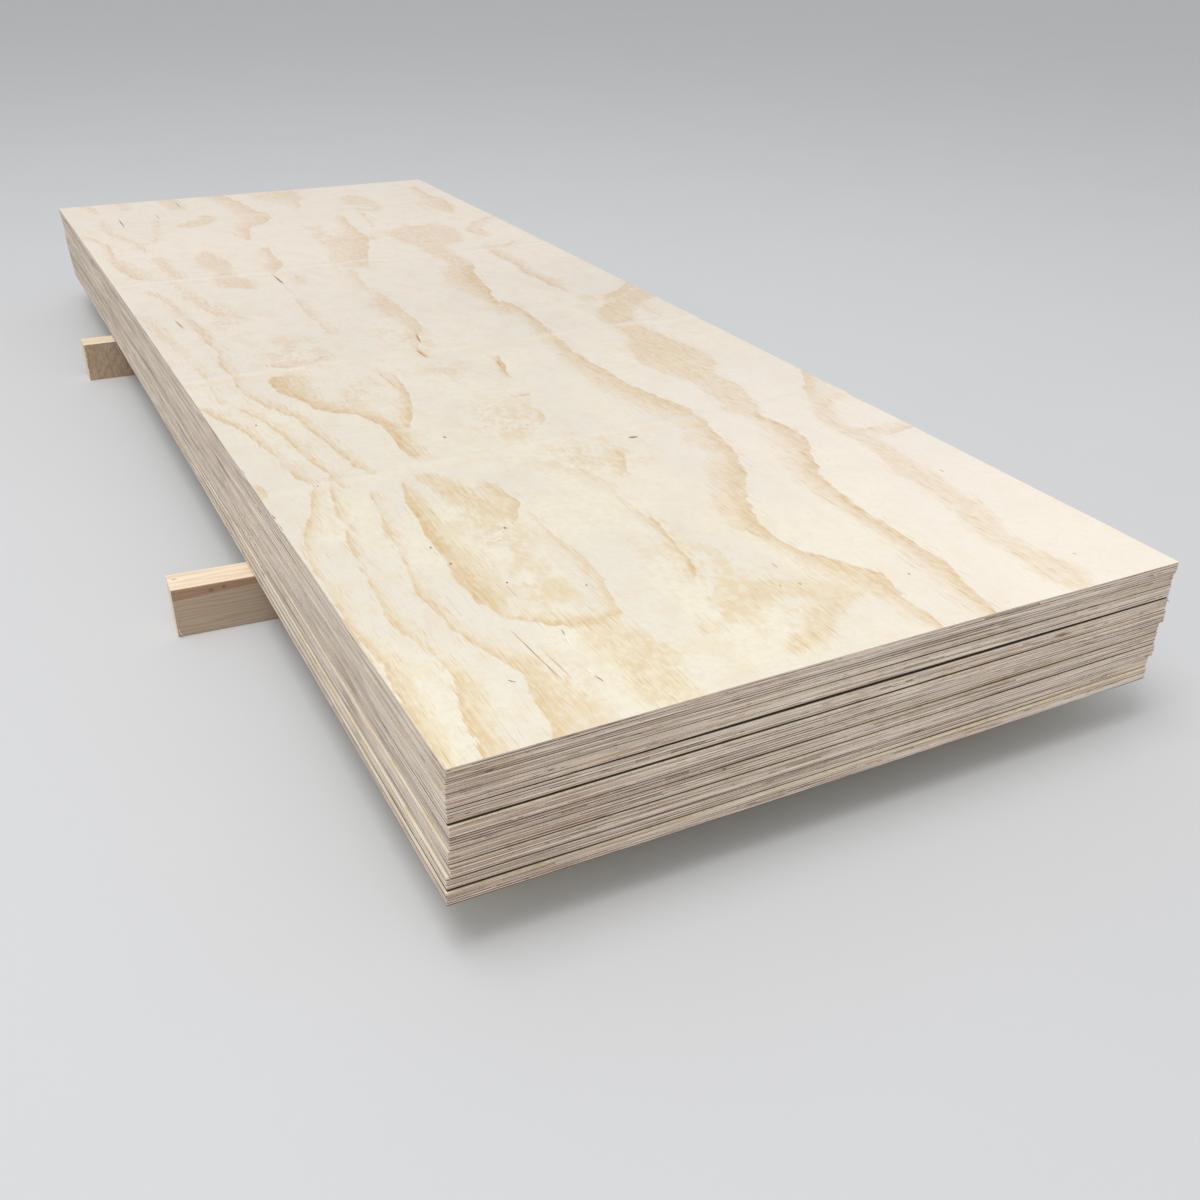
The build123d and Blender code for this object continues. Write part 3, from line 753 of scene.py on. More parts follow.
def roughen_edges(board, number, size, settings):
    """Set each ply's edge back by its own small amount, wavering as a saw leaves it."""
    draw = random.Random(number)
    ply = settings.thickness / settings.ply_count
    steps = [draw.uniform(0, settings.ply_step) for layer in range(settings.ply_count)]
    rim = settings.corner_wear + NEAR
    long_wave, short_wave = 60 * MM, 7 * MM
    for vertex in board.data.vertices:
        x, y, z = vertex.co
        at_side, at_end = abs(x) > size.x / 2 - rim, abs(y) > size.y / 2 - rim
        if not (at_side or at_end):
            continue
        layer = min(int(-z / ply), settings.ply_count - 1)
        slow = waver(x / long_wave, y / long_wave, layer * 3.3 + number * 7.7)
        quick = waver(x / short_wave, y / short_wave, layer * 5.1 + number * 9.3)
        back = steps[layer] + settings.saw_wave * (0.5 + 0.5 * slow + 0.35 * (0.5 + 0.5 * quick))
        if number == TOP_SHEET and layer == 0 and at_side:
            back += chip_depth(math.copysign(1, x), y + size.y / 2) * (0.6 + 0.4 * quick)
        if at_side:
            vertex.co.x -= math.copysign(back, x)
        if at_end:
            vertex.co.y -= math.copysign(back, y)


def ripple(board, size):
    """Let the top face swell a little where ripples cross it, and waver elsewhere."""
    sunk, swell, wander = 0.8 * MM, 0.35 * MM, 22 * MM
    cell_x, cell_y = 150 * MM, 80 * MM
    for vertex in board.data.vertices:
        x, y, z = vertex.co
        if z < -TOUCHING:
            continue
        rise = swell * waver(x / cell_x, y / cell_y, 0.5)
        for place, width, height in CROSS_RIPPLES:
            strength = 0.6 + waver(x / cell_x, place, 8.0)
            past = y + size.y / 2 - place * MM - wander * waver(x / cell_x, place, 3.0)
            share = past / (width * MM)
            rise += strength * height * MM * math.exp(-share * share)
        vertex.co.z += min(rise, sunk) - sunk


def store_figure(board, size):
    """Keep where the latewood of the top veneer runs, for its material."""
    places = vertex_places(board)
    x = (places[:, 0] + size.x / 2) / MM
    y = (places[:, 1] + size.y / 2) / MM
    farthest = -40.0
    figure = np.full(len(x), farthest)
    tone = np.zeros(len(x))
    side = np.zeros(len(x))
    for darkness, sharp, course in VENEER_BANDS:
        for (x1, y1, half1), (x2, y2, half2) in zip(course, course[1:]):
            span_x, span_y = x2 - x1, y2 - y1
            run = math.hypot(span_x, span_y)
            share = np.clip(((x - x1) * span_x + (y - y1) * span_y) / run**2, 0, 1)
            half = half1 + (half2 - half1) * share
            inside = half - np.hypot(x - x1 - share * span_x, y - y1 - share * span_y)
            to_right = ((x - x1) * abs(span_y) - (y - y1) * span_x * math.copysign(1, span_y)) / run
            nearer = inside > figure
            figure[nearer] = inside[nearer]
            tone[nearer] = darkness
            side[nearer] = np.clip(sharp * to_right / half, -1, 1)[nearer]
    patch = np.zeros(len(x))
    for across, along, half_width, half_length in VENEER_PATCHES:
        away = np.hypot((x - across) / half_width, (y - along) / half_length)
        patch = np.maximum(patch, np.clip(1.4 - 1.4 * away, 0, 1))
    store(board, "figure", figure)
    store(board, "tone", tone)
    store(board, "side", side)
    store(board, "patch", patch)


def store_cover(board, number, lie):
    """Keep how far each place lies inside the outline of the sheet above, in millimetres."""
    above = lie_of(SHEETS[number])
    places = vertex_places(board)
    x, y = turned(places[:, 0], places[:, 1], lie.turn)
    x, y = turned(x + lie.middle.x - above.middle.x, y + lie.middle.y - above.middle.y, -above.turn)
    upper = places[:, 2] > -TOUCHING
    store(board, "covered_across", np.where(upper, (above.size.x / 2 - np.abs(x)) / MM, -1.0))
    store(board, "covered_along", np.where(upper, (above.size.y / 2 - np.abs(y)) / MM, -1.0))


def bend_to(board, name, lie):
    """Bow the flat board to the upper face of its node by a lattice."""
    surface = BVHTree.FromObject(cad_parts[name], bpy.context.evaluated_depsgraph_get())
    thickness = sheet_settings().thickness
    size = lie.size
    down = Vector((0, 0, -1))
    start_height = 1
    ray_margin = 2 * MM
    inset = 1 - 2 * ray_margin / size.x
    deselect()
    bpy.ops.object.add(type="LATTICE", location=(0, 0, -thickness / 2))
    cage = bpy.context.object
    cage.scale = (size.x, size.y, thickness)
    cage.data.points_u, cage.data.points_v, cage.data.points_w = 9, 41, 2
    for axis in ("u", "v", "w"):
        setattr(cage.data, f"interpolation_type_{axis}", "KEY_LINEAR")
    for point in cage.data.points:
        x, y = turned(point.co.x * size.x * inset, point.co.y * size.y * inset, lie.turn)
        above = Vector((lie.middle.x + x, lie.middle.y + y, start_height))
        hit = surface.ray_cast(above, down)[0]
        if hit is None:
            raise RuntimeError(f"{name} has no face at {above}")
        point.co_deform.z += hit.z / thickness
    bend = board.modifiers.new("Bow", "LATTICE")
    bend.object = cage
    deselect()
    board.select_set(True)
    bpy.context.view_layer.objects.active = board
    bpy.ops.object.modifier_apply(modifier=bend.name)
    bpy.data.objects.remove(cage)
    board.location = (lie.middle.x, lie.middle.y, 0)
    board.rotation_euler = (0, 0, lie.turn)
    apply_place(board)


def add_splinters(piece, name, size, bottom):
    """Join thin, pointed splinters to a piece that still lies straight at the origin."""
    made = []
    thickest = 0.9 * MM
    for owner, place, extent, course in SPLINTERS:
        if owner != name:
            continue
        course = Vector(course).normalized()
        foot = Vector(place) * MM + Vector((-size.x / 2, -size.y / 2, bottom))
        middle = foot + course * extent * MM / 2
        deselect()
        bpy.ops.mesh.primitive_cone_add(
            vertices=5, radius1=thickest, radius2=0, depth=extent * MM, location=middle
        )
        splinter = bpy.context.object
        splinter.rotation_euler = course.to_track_quat("Z", "Y").to_euler()
        apply_place(splinter)
        made.append(splinter)
    if made:
        deselect()
        for part in (*made, piece):
            part.select_set(True)
        bpy.context.view_layer.objects.active = piece
        bpy.ops.object.join()


def copy_board(blank, blank_size, size):
    """Another board like the blank, with its own mesh, fitted to a sheet's exact size."""
    board = blank.copy()
    board.data = blank.data.copy()
    bpy.context.collection.objects.link(board)
    board.scale = (size.x / blank_size.x, size.y / blank_size.y, 1)
    apply_place(board)
    return board


def make_sheet(number, board):
    """Turn a flat board into one sheet and put it where its node lies."""
    settings = sheet_settings()
    name = SHEETS[number - 1]
    lie = lie_of(name)
    board.name = "plywood_" + name[-2:]
    cut_voids(board, number, lie.size, settings)
    add_splinters(board, name, lie.size, -settings.thickness)
    places = vertex_places(board)
    store(board, "through", settings.ply_count * (1 + places[:, 2] / settings.thickness))
    if number == TOP_SHEET:
        store_figure(board, lie.size)
    else:
        store_cover(board, number, lie)
    roughen_edges(board, number, lie.size, settings)
    if number == TOP_SHEET:
        ripple(board, lie.size)
    bend_to(board, name, lie)
    board.data.materials.append(veneer_finish() if number == TOP_SHEET else plain_veneer_finish())
    board.data.materials.append(edge_finish(number))
    for polygon in board.data.polygons:
        polygon.material_index = 1 if upright(polygon) else 0
    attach(board, ROOT)
    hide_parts(name)


# Bearers


def make_bearer(name, eased, segments, heights=(), places=()):
    """Model one bearer as a square-cut timber with eased edges, lying along X at the origin.

    Its mesh is cut across at each cell, and lengthwise at the given heights and places.
    """
    size = lie_of(name).size
    deselect()
    bpy.ops.mesh.primitive_cube_add(size=1, location=(0, 0, size.z / 2))
    timber = bpy.context.object
    timber.name = "timber_" + name
    timber.scale = size
    apply_place(timber)
    enter_edit(timber, "EDGE")
    pick(timber, "EDGE", lambda edge: span(edge, 0) > size.x / 2)
    bpy.ops.mesh.bevel(offset=eased, segments=segments, affect="EDGES")
    cells = round(size.x / bearer_settings().cell)
    planes = [((-size.x / 2 + cell * size.x / cells, 0, 0), (1, 0, 0)) for cell in range(1, cells)]
    planes += [((0, 0, height), (0, 0, 1)) for height in heights]
    planes += [((0, place, 0), (0, 1, 0)) for place in places]
    for place, across in planes:
        bpy.ops.mesh.select_all(action="SELECT")
        bpy.ops.mesh.bisect(plane_co=place, plane_no=across)
    leave_edit()
    return timber


def tear_notches(size):
    """Height and depth of each torn notch in the sawn bearer's end."""
    settings = bearer_settings()
    top = size.z - settings.tears_below_top - settings.tear_pitch * 2 / 3
    return [(top - place * settings.tear_pitch, depth * MM) for place, depth in enumerate(TEAR_DEPTHS)]


def tear_end(timber, size, notches):
    """Pull the torn notches into the sawn bearer's left end, and waver its sides as a saw leaves them."""
    reach = bearer_settings().tear_reach
    cell_x, cell_y, cell_z = 50 * MM, 30 * MM, 20 * MM
    side_wave, right_wave, left_wave = 0.5 * MM, 0.8 * MM, 0.3 * MM
    near = 0.2 * MM
    for vertex in timber.data.vertices:
        x, y, z = vertex.co
        inward = 0.5 + 0.5 * waver(x / cell_x, y / cell_y, z / cell_z)
        if abs(y) > size.y / 2 - near:
            vertex.co.y -= math.copysign(side_wave * inward, y)
        if x > size.x / 2 - near:
            vertex.co.x -= right_wave * inward
        if x < near - size.x / 2:
            fade = max(0.0, 1 - (y + size.y / 2) / reach)
            depth = max((deep for height, deep in notches if abs(z - height) < near), default=0)
            vertex.co.x += depth * fade + left_wave * inward


def place_bearer(timber, name):
    """Put a finished bearer where its node lies."""
    lie = lie_of(name)
    timber.location = (lie.middle.x, lie.middle.y, 0)
    timber.rotation_euler = (0, 0, lie.turn)
    apply_place(timber)
    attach(timber, ROOT)
    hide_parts(name)


# Finishes

# Width and length of the streak that one fibre leaves on a face veneer
FIBRE = (0.9 * MM, 34 * MM)
# How far a mark in a sawn edge reaches at right angles to that edge
EDGE_MARK_REACH = 12 * MM
# Lines in the edges are five times as long on the sides, in noise that is shifted to suit the near end
SIDE_DRAW = 0.2
SIDE_SHIFT = -0.1627


class Finish:
    """A material that is laid out node by node."""

    def __init__(self, name, roughness):
        self.material = bpy.data.materials.new(name)
        self.material.use_nodes = True
        self.tree = self.material.node_tree
        self.shader = self.tree.nodes["Principled BSDF"]
        self.shader.inputs["Roughness"].default_value = roughness
        self.shader.inputs["Specular IOR Level"].default_value = 0.3
        self.place = self.node("ShaderNodeTexCoord").outputs["Object"]

    def node(self, kind, **options):
        """A new node with its options set."""
        made = self.tree.nodes.new(kind)
        for option, value in options.items():
            setattr(made, option, value)
        return made

    def feed(self, socket, value):
        """Link a socket to a socket, or set it to a value."""
        if isinstance(value, bpy.types.NodeSocket):
            self.tree.links.new(value, socket)
        else:
            socket.default_value = value

    def feed_colour(self, socket, value):
        """Link a socket to a socket, or set it to a colour."""
        self.feed(socket, value if isinstance(value, bpy.types.NodeSocket) else (*value, 1))

    def maths(self, operation, *values, clamp=False):
        """The result of one Math node."""
        made = self.node("ShaderNodeMath", operation=operation, use_clamp=clamp)
        for socket, value in zip(made.inputs, values):
            self.feed(socket, value)
        return made.outputs[0]

    def product(self, first, *others):
        """Values multiplied together."""
        for other in others:
            first = self.maths("MULTIPLY", first, other)
        return first

    def total(self, first, *others):
        """Values added up."""
        for other in others:
            first = self.maths("ADD", first, other)
        return first

    def vector_maths(self, operation, *values):
        """The result of one Vector Math node."""
        made = self.node("ShaderNodeVectorMath", operation=operation)
        for socket, value in zip(made.inputs, values):
            self.feed(socket, value)
        return made.outputs["Value" if operation == "LENGTH" else "Vector"]

    def step(self, value, low, high, start=0.0, end=1.0):
        """A smooth step from start to end while value runs from low to high."""
        made = self.node("ShaderNodeMapRange", interpolation_type="SMOOTHSTEP")
        for socket, given in zip(made.inputs, (value, low, high, start, end)):
            self.feed(socket, given)
        return made.outputs[0]

    def attribute(self, name):
        """One number that the mesh keeps for each vertex."""
        return self.node("ShaderNodeAttribute", attribute_name=name).outputs["Fac"]

    def combine(self, x, y, z):
        """A vector made of three values."""
        made = self.node("ShaderNodeCombineXYZ")
        for socket, value in zip(made.inputs, (x, y, z)):
            self.feed(socket, value)
        return made.outputs[0]

    def split(self, vector):
        """The X, Y and Z of a vector."""
        made = self.node("ShaderNodeSeparateXYZ")
        self.feed(made.inputs[0], vector)
        return made.outputs

    def facing(self):
        """The X, Y and Z of the direction in which a face looks."""
        return self.split(self.node("ShaderNodeNewGeometry").outputs["True Normal"])

    def stretched(self, size, offset=0.0):
        """Object coordinates in which one unit is the given size in metres."""
        made = self.node("ShaderNodeMapping")
        self.feed(made.inputs["Vector"], self.place)
        made.inputs["Location"].default_value = (offset, offset, offset)
        made.inputs["Scale"].default_value = tuple(1 / part for part in size)
        return made.outputs[0]

    def spot(self, vector, place, radii, turn=0.0):
        """How far from a place, counted in radii."""
        made = self.node("ShaderNodeMapping", vector_type="TEXTURE")
        self.feed(made.inputs["Vector"], vector)
        made.inputs["Location"].default_value = place
        made.inputs["Rotation"].default_value = (0, 0, turn)
        made.inputs["Scale"].default_value = radii
        return self.vector_maths("LENGTH", made.outputs[0])

    def noise(self, vector, detail=2.0):
        """Cloudy noise from 0 to 1 with about one cell a unit."""
        made = self.node("ShaderNodeTexNoise")
        self.feed(made.inputs["Vector"], vector)
        made.inputs["Scale"].default_value = 1
        made.inputs["Detail"].default_value = detail
        made.inputs["Roughness"].default_value = 0.5
        return made.outputs["Fac"]

    def grain(self, across, along, detail=2.0, offset=0.0):
        """Noise on a face whose fibres run along Y, with cells of the given size in metres."""
        return self.noise(self.stretched((across, along, across), offset), detail)

    def centred(self, value, reach):
        """Noise turned into a shift of about plus or minus reach."""
        return self.maths("MULTIPLY", self.maths("SUBTRACT", value, 0.5), 2 * reach)

    def mix(self, share, first, second):
        """One colour turning into another."""
        made = self.node("ShaderNodeMix", data_type="RGBA")
        self.feed(made.inputs[0], share)
        self.feed_colour(made.inputs[6], first)
        self.feed_colour(made.inputs[7], second)
        return made.outputs[2]

    def tinted(self, value, share, tint):
        """A colour darkened by a tint."""
        made = self.node("ShaderNodeMix", data_type="RGBA", blend_type="MULTIPLY")
        self.feed(made.inputs[0], share)
        self.feed_colour(made.inputs[6], value)
        self.feed_colour(made.inputs[7], tint)
        return made.outputs[2]

    def finish(self, base, height, depth):
        """Set the colour and a bump of the given depth in metres."""
        self.feed(self.shader.inputs["Base Color"], base)
        bump = self.node("ShaderNodeBump")
        bump.inputs["Distance"].default_value = depth
        self.feed(bump.inputs["Height"], height)
        self.feed(self.shader.inputs["Normal"], bump.outputs[0])
        return self.material


def top_corner():
    """The top sheet's near left corner, from which marks are measured."""
    lie = lie_of(SHEETS[-1])
    return lie.middle - Vector((lie.size.x / 2, lie.size.y / 2, 0))


def latewood(wood, y, fibre, streak, fine_mottle):
    """How dense and how dark the bands of latewood are, and how near a band is.

    Their outlines are ragged, with one sharp side and one soft side.
    """
    side = wood.attribute("side")
    tone = wood.attribute("tone")
    softness = wood.step(side, -0.4, 0.8, 11.0, 1.1)
    frayed = wood.total(wood.centred(wood.grain(2.4 * MM, 30 * MM, 2.0, 7.0), 1.3), wood.centred(fibre, 0.9))
    ragged = wood.total(
        wood.attribute("figure"),
        wood.centred(wood.grain(24 * MM, 60 * MM, 1.5, 3.0), 9),
        wood.centred(wood.grain(8 * MM, 15 * MM, 1.0, 31.0), 3.5),
        wood.product(frayed, wood.total(softness, 1.2)),
    )
    density = wood.product(
        wood.step(ragged, wood.product(softness, -1.0), wood.product(softness, 0.8)),
        wood.step(side, -1.0, 0.9, 0.6, 1.05),
        wood.step(fine_mottle, 0.34, 0.62, 0.6, 1.1),
        wood.step(streak, 0.36, 0.64, 0.75, 1.15),
        wood.step(tone, 0.1, 0.65, 0.45, 1.0),
        # Painted sheen: the bands fade toward the far end
        wood.step(y, 0.1, 1.0, 1.0, 0.7),
    )
    dark = wood.product(
        density, tone, wood.step(side, -0.6, 0.9, 0.3, 1.0), wood.step(fibre, 0.32, 0.66, 0.3, 1.0)
    )
    near_band = wood.step(ragged, -20.0, 2.0, 0.1, 0.8)
    return density, dark, near_band


def add_creases(wood, base, y, fine_mottle, tan, cool):
    """Creases across the sheet, each a soft ridge, paler along the ridge as a painted highlight, with a tan
    line along its near foot that is partly the veneer's tan and partly painted shade.
    """
    corner = top_corner()
    wrinkle = wood.product(wood.grain(30 * MM, 7 * MM, 2.0, 1.0), 1.2)
    wander = wood.centred(wood.grain(150 * MM, 260 * MM, 3.0, 21.0), 34 * MM)
    wandered = wood.maths("SUBTRACT", y, wander)
    shown = wood.step(wood.grain(120 * MM, 200 * MM, 1.0, 23.0), 0.35, 0.6, 0.2, 1.0)
    for along, half, rise in CROSS_RIPPLES:
        reach = half * MM
        past = wood.maths("SUBTRACT", wandered, corner.y + along * MM)
        ridge = wood.product(wood.step(wood.maths("ABSOLUTE", past), reach, 0.0, 0.0, rise), shown)
        wrinkle = wood.total(wrinkle, wood.product(ridge, 4.0))
        foot = wood.product(
            wood.step(wood.maths("ABSOLUTE", wood.total(past, reach)), reach, 0.0, 0.0, rise),
            shown,
            wood.step(fine_mottle, 0.4, 0.6),
        )
        # The tan foot is partly painted shade, and the paler ridge is a painted highlight
        base = wood.mix(wood.product(foot, 0.8), base, tan)
        base = wood.mix(wood.product(ridge, 0.7), base, cool)
    return base, wrinkle


def add_veneer_marks(wood, base, fibre):
    """Dark marks, scratches and pitch streaks, each an ellipse with a frayed outline."""
    colours = sheet_settings()
    corner = top_corner()
    frayed = wood.step(fibre, 0.3, 0.7, 0.25, -0.25)
    for across, along, width, extent, angle, tint, strength in VENEER_MARKS:
        place = corner + Vector((across, along, 0)) * MM
        radii = (width * MM / 2, extent * MM / 2, 1)
        away = wood.total(wood.spot(wood.place, place, radii, math.radians(angle)), frayed)
        base = wood.mix(wood.step(away, 0.6, 1.1, strength, 0.0), base, getattr(colours, tint))
    return base


def veneer_finish():
    """Rotary-cut pine veneer with the figure that the top sheet shows."""
    colours = sheet_settings()
    wood = Finish("pine_veneer", 0.62)
    parts = wood.split(wood.place)
    x, y = parts["X"], parts["Y"]
    fibre = wood.grain(*FIBRE)
    fleck = wood.grain(1.2 * MM, 16 * MM, 2.0, 4.0)
    streak = wood.grain(3.4 * MM, 80 * MM, 2.0, 5.0)
    fine_mottle = wood.grain(8 * MM, 13 * MM, 3.0, 9.0)
    mottle = wood.grain(26 * MM, 42 * MM, 3.0, 8.0)
    cloud = wood.grain(120 * MM, 210 * MM, 2.0, 2.0)
    curl = wood.grain(11 * MM, 7 * MM, 2.0, 15.0)
    density, dark, near_band = latewood(wood, y, fibre, streak, fine_mottle)
    needles = wood.product(wood.step(wood.grain(1.25 * MM, 36 * MM, 1.0, 6.0), 0.62, 0.69), near_band)
    splits = wood.product(wood.step(wood.grain(1.2 * MM, 26 * MM, 1.0, 12.0), 0.64, 0.72), near_band)

    # Pale ground, rosier and cooler toward the far end as painted sheen, and palest at the near right corner
    # as painted light
    far = wood.step(y, -0.9, 0.7)
    near_right_light = wood.product(wood.step(x, -0.1, 0.4), wood.step(y, 0.0, -0.8))
    tan = wood.mix(far, colours.tan, colours.far_tan_with_sheen)
    base = wood.mix(far, colours.cream, colours.far_cream_with_sheen)
    base = wood.mix(wood.step(cloud, 0.35, 0.65, 0.0, 0.8), base, colours.cool)
    base = wood.mix(wood.step(fine_mottle, 0.4, 0.7, 0.0, 0.5), base, colours.cool)
    base = wood.mix(wood.step(curl, 0.5, 0.7, 0.0, 0.24), base, tan)
    base = wood.mix(wood.step(mottle, 0.4, 0.75, 0.0, 0.3), base, tan)
    # Painted light: the near right corner turns palest, both in the pale ground and in the tan
    base = wood.mix(wood.product(near_right_light, 0.6), base, colours.bright)
    tan = wood.mix(wood.product(near_right_light, 0.5), tan, colours.bright)

    # Faint streaky patches, then the bands and the fine lines along them
    patch = wood.attribute("patch")
    patchy = wood.product(
        patch, wood.step(wood.total(mottle, fine_mottle), 0.85, 1.25), wood.step(fibre, 0.3, 0.65, 0.6, 1.0)
    )
    flecks = wood.product(wood.step(fleck, 0.6, 0.72), wood.maths("MULTIPLY_ADD", patch, 0.3, 0.16))
    base = wood.mix(patchy, base, tan)
    base = wood.mix(flecks, base, colours.orange)
    base = wood.mix(wood.maths("MULTIPLY", density, 0.95, clamp=True), base, tan)
    base = wood.mix(wood.maths("MULTIPLY", dark, 0.75, clamp=True), base, colours.orange)
    base = wood.mix(wood.product(splits, 0.5), base, colours.pale)
    base = wood.mix(wood.product(needles, 0.7), base, colours.orange)

    # Painted shade: the middle of the sheet is darkened against its ends
    from_shade = wood.maths("ABSOLUTE", wood.total(y, 0.3))
    base = wood.tinted(base, wood.step(from_shade, 1.0, 0.3), colours.shade)
    base, wrinkle = add_creases(wood, base, y, fine_mottle, tan, colours.cool)
    base = add_veneer_marks(wood, base, fibre)
    return wood.finish(base, wood.total(wood.product(fibre, 0.5), wrinkle), 0.8 * MM)


def plain_veneer_finish():
    """Pine veneer for the faces that lie inside the stack or under it."""
    colours = sheet_settings()
    wood = Finish("pine_veneer_plain", 0.65)
    fibre = wood.grain(*FIBRE)
    rings = wood.product(wood.grain(110 * MM, 620 * MM, 3.0, 6.0), 14.0)
    ring = wood.maths("FRACT", wood.total(rings, wood.centred(fibre, 0.1)))
    late = wood.product(wood.step(ring, 0.45, 0.9), wood.step(ring, 1.0, 0.93))
    base = wood.mix(wood.grain(90 * MM, 160 * MM), colours.cream, colours.cool)
    base = wood.mix(wood.product(late, 0.8), base, colours.tan)
    base = wood.mix(wood.step(fibre, 0.45, 0.75, 0.0, 0.3), base, colours.orange)

    # Painted shade darkens the rim that the sheet above covers, where the joint between two sheets lies
    covered = wood.maths("MINIMUM", wood.attribute("covered_across"), wood.attribute("covered_along"))
    joint_shade_level = wood.product(wood.step(covered, -0.2, 1.0), wood.step(covered, 40.0, 12.0))
    base = wood.mix(wood.product(joint_shade_level, 0.9), base, colours.joint_shade)
    return wood.finish(base, fibre, 0.2 * MM)


class EdgeFinish(Finish):
    """The sawn edges of one sheet's glued plies."""

    def __init__(self, number):
        super().__init__(f"plywood_edge_{number:02d}", 0.75)
        parts = self.split(self.place)
        self.number = number
        self.x, self.y = parts["X"], parts["Y"]
        self.through = self.attribute("through")
        self.at_side = self.step(self.maths("ABSOLUTE", self.facing()["X"]), 0.4, 0.8)

    def layers(self, extent, fineness, offset, detail=1.0):
        """Noise in thin layers, with cells of the given length on the near end and so many to a ply."""
        drawn_out = self.maths("MULTIPLY_ADD", self.y, SIDE_DRAW, SIDE_SHIFT)
        height = self.maths("MULTIPLY_ADD", self.through, fineness, self.number * offset)
        across, along = (self.maths("DIVIDE", part, extent) for part in (self.x, drawn_out))
        return self.noise(self.combine(across, along, height), detail)

    def ply_tone(self):
        """Each ply's own tone, which changes slowly along the edge."""
        whole = self.maths("FLOOR", self.through)
        ply = self.maths("MULTIPLY_ADD", whole, 5.3, self.number * 7.1)
        across, along = (self.maths("DIVIDE", part, 0.4) for part in (self.x, self.y))
        slow = self.noise(self.combine(across, along, ply), 1.0)
        own = self.step(slow, 0.3, 0.7, self.product(self.at_side, -0.3), 0.16)
        crossband = self.maths("MULTIPLY_ADD", self.maths("PINGPONG", whole, 1.0), 2.0, -1.0)
        contrast = self.maths("MULTIPLY_ADD", self.at_side, 0.3, -0.1)
        at_end = self.maths("SUBTRACT", 1.0, self.at_side)
        # The near end is darker toward its left
        darker_leftward = self.product(self.step(self.x, -0.5, 0.0, 0.24, 0.0), at_end)
        return self.total(own, self.product(crossband, contrast), darker_leftward)

    def seams(self):
        """Dark glue lines between the plies, which fade in and out."""
        plies = sheet_settings().ply_count
        shift = self.centred(self.layers(30 * MM, 0.3, 3.0, 2.0), 0.05)
        away = self.maths("PINGPONG", self.total(self.through, shift), 0.5)
        width = self.step(self.layers(260 * MM, 0.9, 61.0), 0.42, 0.66, 0.03, 0.21)
        return self.product(
            self.step(away, width, self.product(width, 0.5)),
            self.step(self.through, 0.4, 0.6),
            self.step(self.through, plies - 0.4, plies - 0.6),
            0.85,
        )

    def cracks(self):
        """Cracks and torn spots that open here and there, and fewer on the near end."""
        rare = self.maths("MULTIPLY_ADD", self.at_side, -0.09, 0.7)
        crack = self.step(self.layers(28 * MM, 4.2, 17.0), rare, self.total(rare, 0.05), 0.0, 0.85)
        torn = self.step(self.layers(9 * MM, 2.2, 71.0, 0.0), 0.8, 0.86, 0.0, 0.8)
        return self.maths("MAXIMUM", crack, torn)

    def add_marks(self, base, frayed):
        """The marks that the near end and the left edge of this sheet show."""
        colours = sheet_settings()
        corner = top_corner()
        unrolled = self.combine(self.x, self.y, self.through)
        for face, distance, sheet, plies, extent, tall, tint, strength in EDGE_MARKS:
            if sheet != self.number:
                continue
            place = Vector((corner.x, corner.y, plies))
            radii = Vector((EDGE_MARK_REACH, EDGE_MARK_REACH, tall / 2))
            along = 0 if face == "end" else 1
            place[along] += distance * MM
            radii[along] = extent * MM / 2
            away = self.total(self.spot(unrolled, place, radii), frayed)
            base = self.mix(self.step(away, 0.5, 1.2, strength, 0.0), base, getattr(colours, tint))
        return base


def edge_finish(number):
    """One sheet's edges: streaks and fine lines in each ply, seams, cracks, marks and painted shade at the
    joint below it.
    """
    colours = sheet_settings()
    wood = EdgeFinish(number)
    streak = wood.step(wood.layers(190 * MM, 1.7, 13.0), 0.4, 0.62, 0.0, 0.18)
    line = wood.step(wood.layers(170 * MM, 4.4, 29.0), 0.6, 0.66, 0.0, 0.8)
    hair = wood.step(wood.layers(60 * MM, 7.0, 41.0), 0.42, 0.6, -0.16, 0.16)
    fuzz = wood.centred(wood.noise(wood.stretched((1.0 * MM, 7 * MM, 0.6 * MM))), 0.2)
    saw = wood.centred(wood.noise(wood.stretched((0.9 * MM, 12 * MM, 30 * MM)), 1.0), 0.1)
    tone = wood.maths("ADD", wood.total(wood.ply_tone(), streak, line, hair, saw), fuzz, clamp=True)
    base = wood.mix(tone, colours.edge_light, colours.edge_dark)
    resin = wood.step(wood.layers(90 * MM, 1.3, 53.0), 0.64, 0.76, 0.0, 0.45)
    base = wood.mix(resin, base, colours.resin)
    dark = wood.maths("MAXIMUM", wood.seams(), wood.cracks())
    base = wood.mix(dark, base, colours.glue)
    frayed = wood.total(fuzz, wood.centred(wood.layers(12 * MM, 6.0, 19.0), 0.8))
    base = wood.add_marks(base, frayed)

    # Painted shade darkens the joint below the sheet, to a height that changes along it
    joint_shade_level = wood.step(wood.layers(240 * MM, 0.0, 83.0), 0.36, 0.6, 0.14, 0.4)
    joint = wood.step(wood.through, joint_shade_level, wood.product(joint_shade_level, 0.6), 0.0, 0.95)
    base = wood.mix(joint, base, colours.joint_shade)
    height = wood.maths("SUBTRACT", wood.total(fuzz, hair), wood.product(dark, 0.6))
    return wood.finish(base, height, 0.5 * MM)


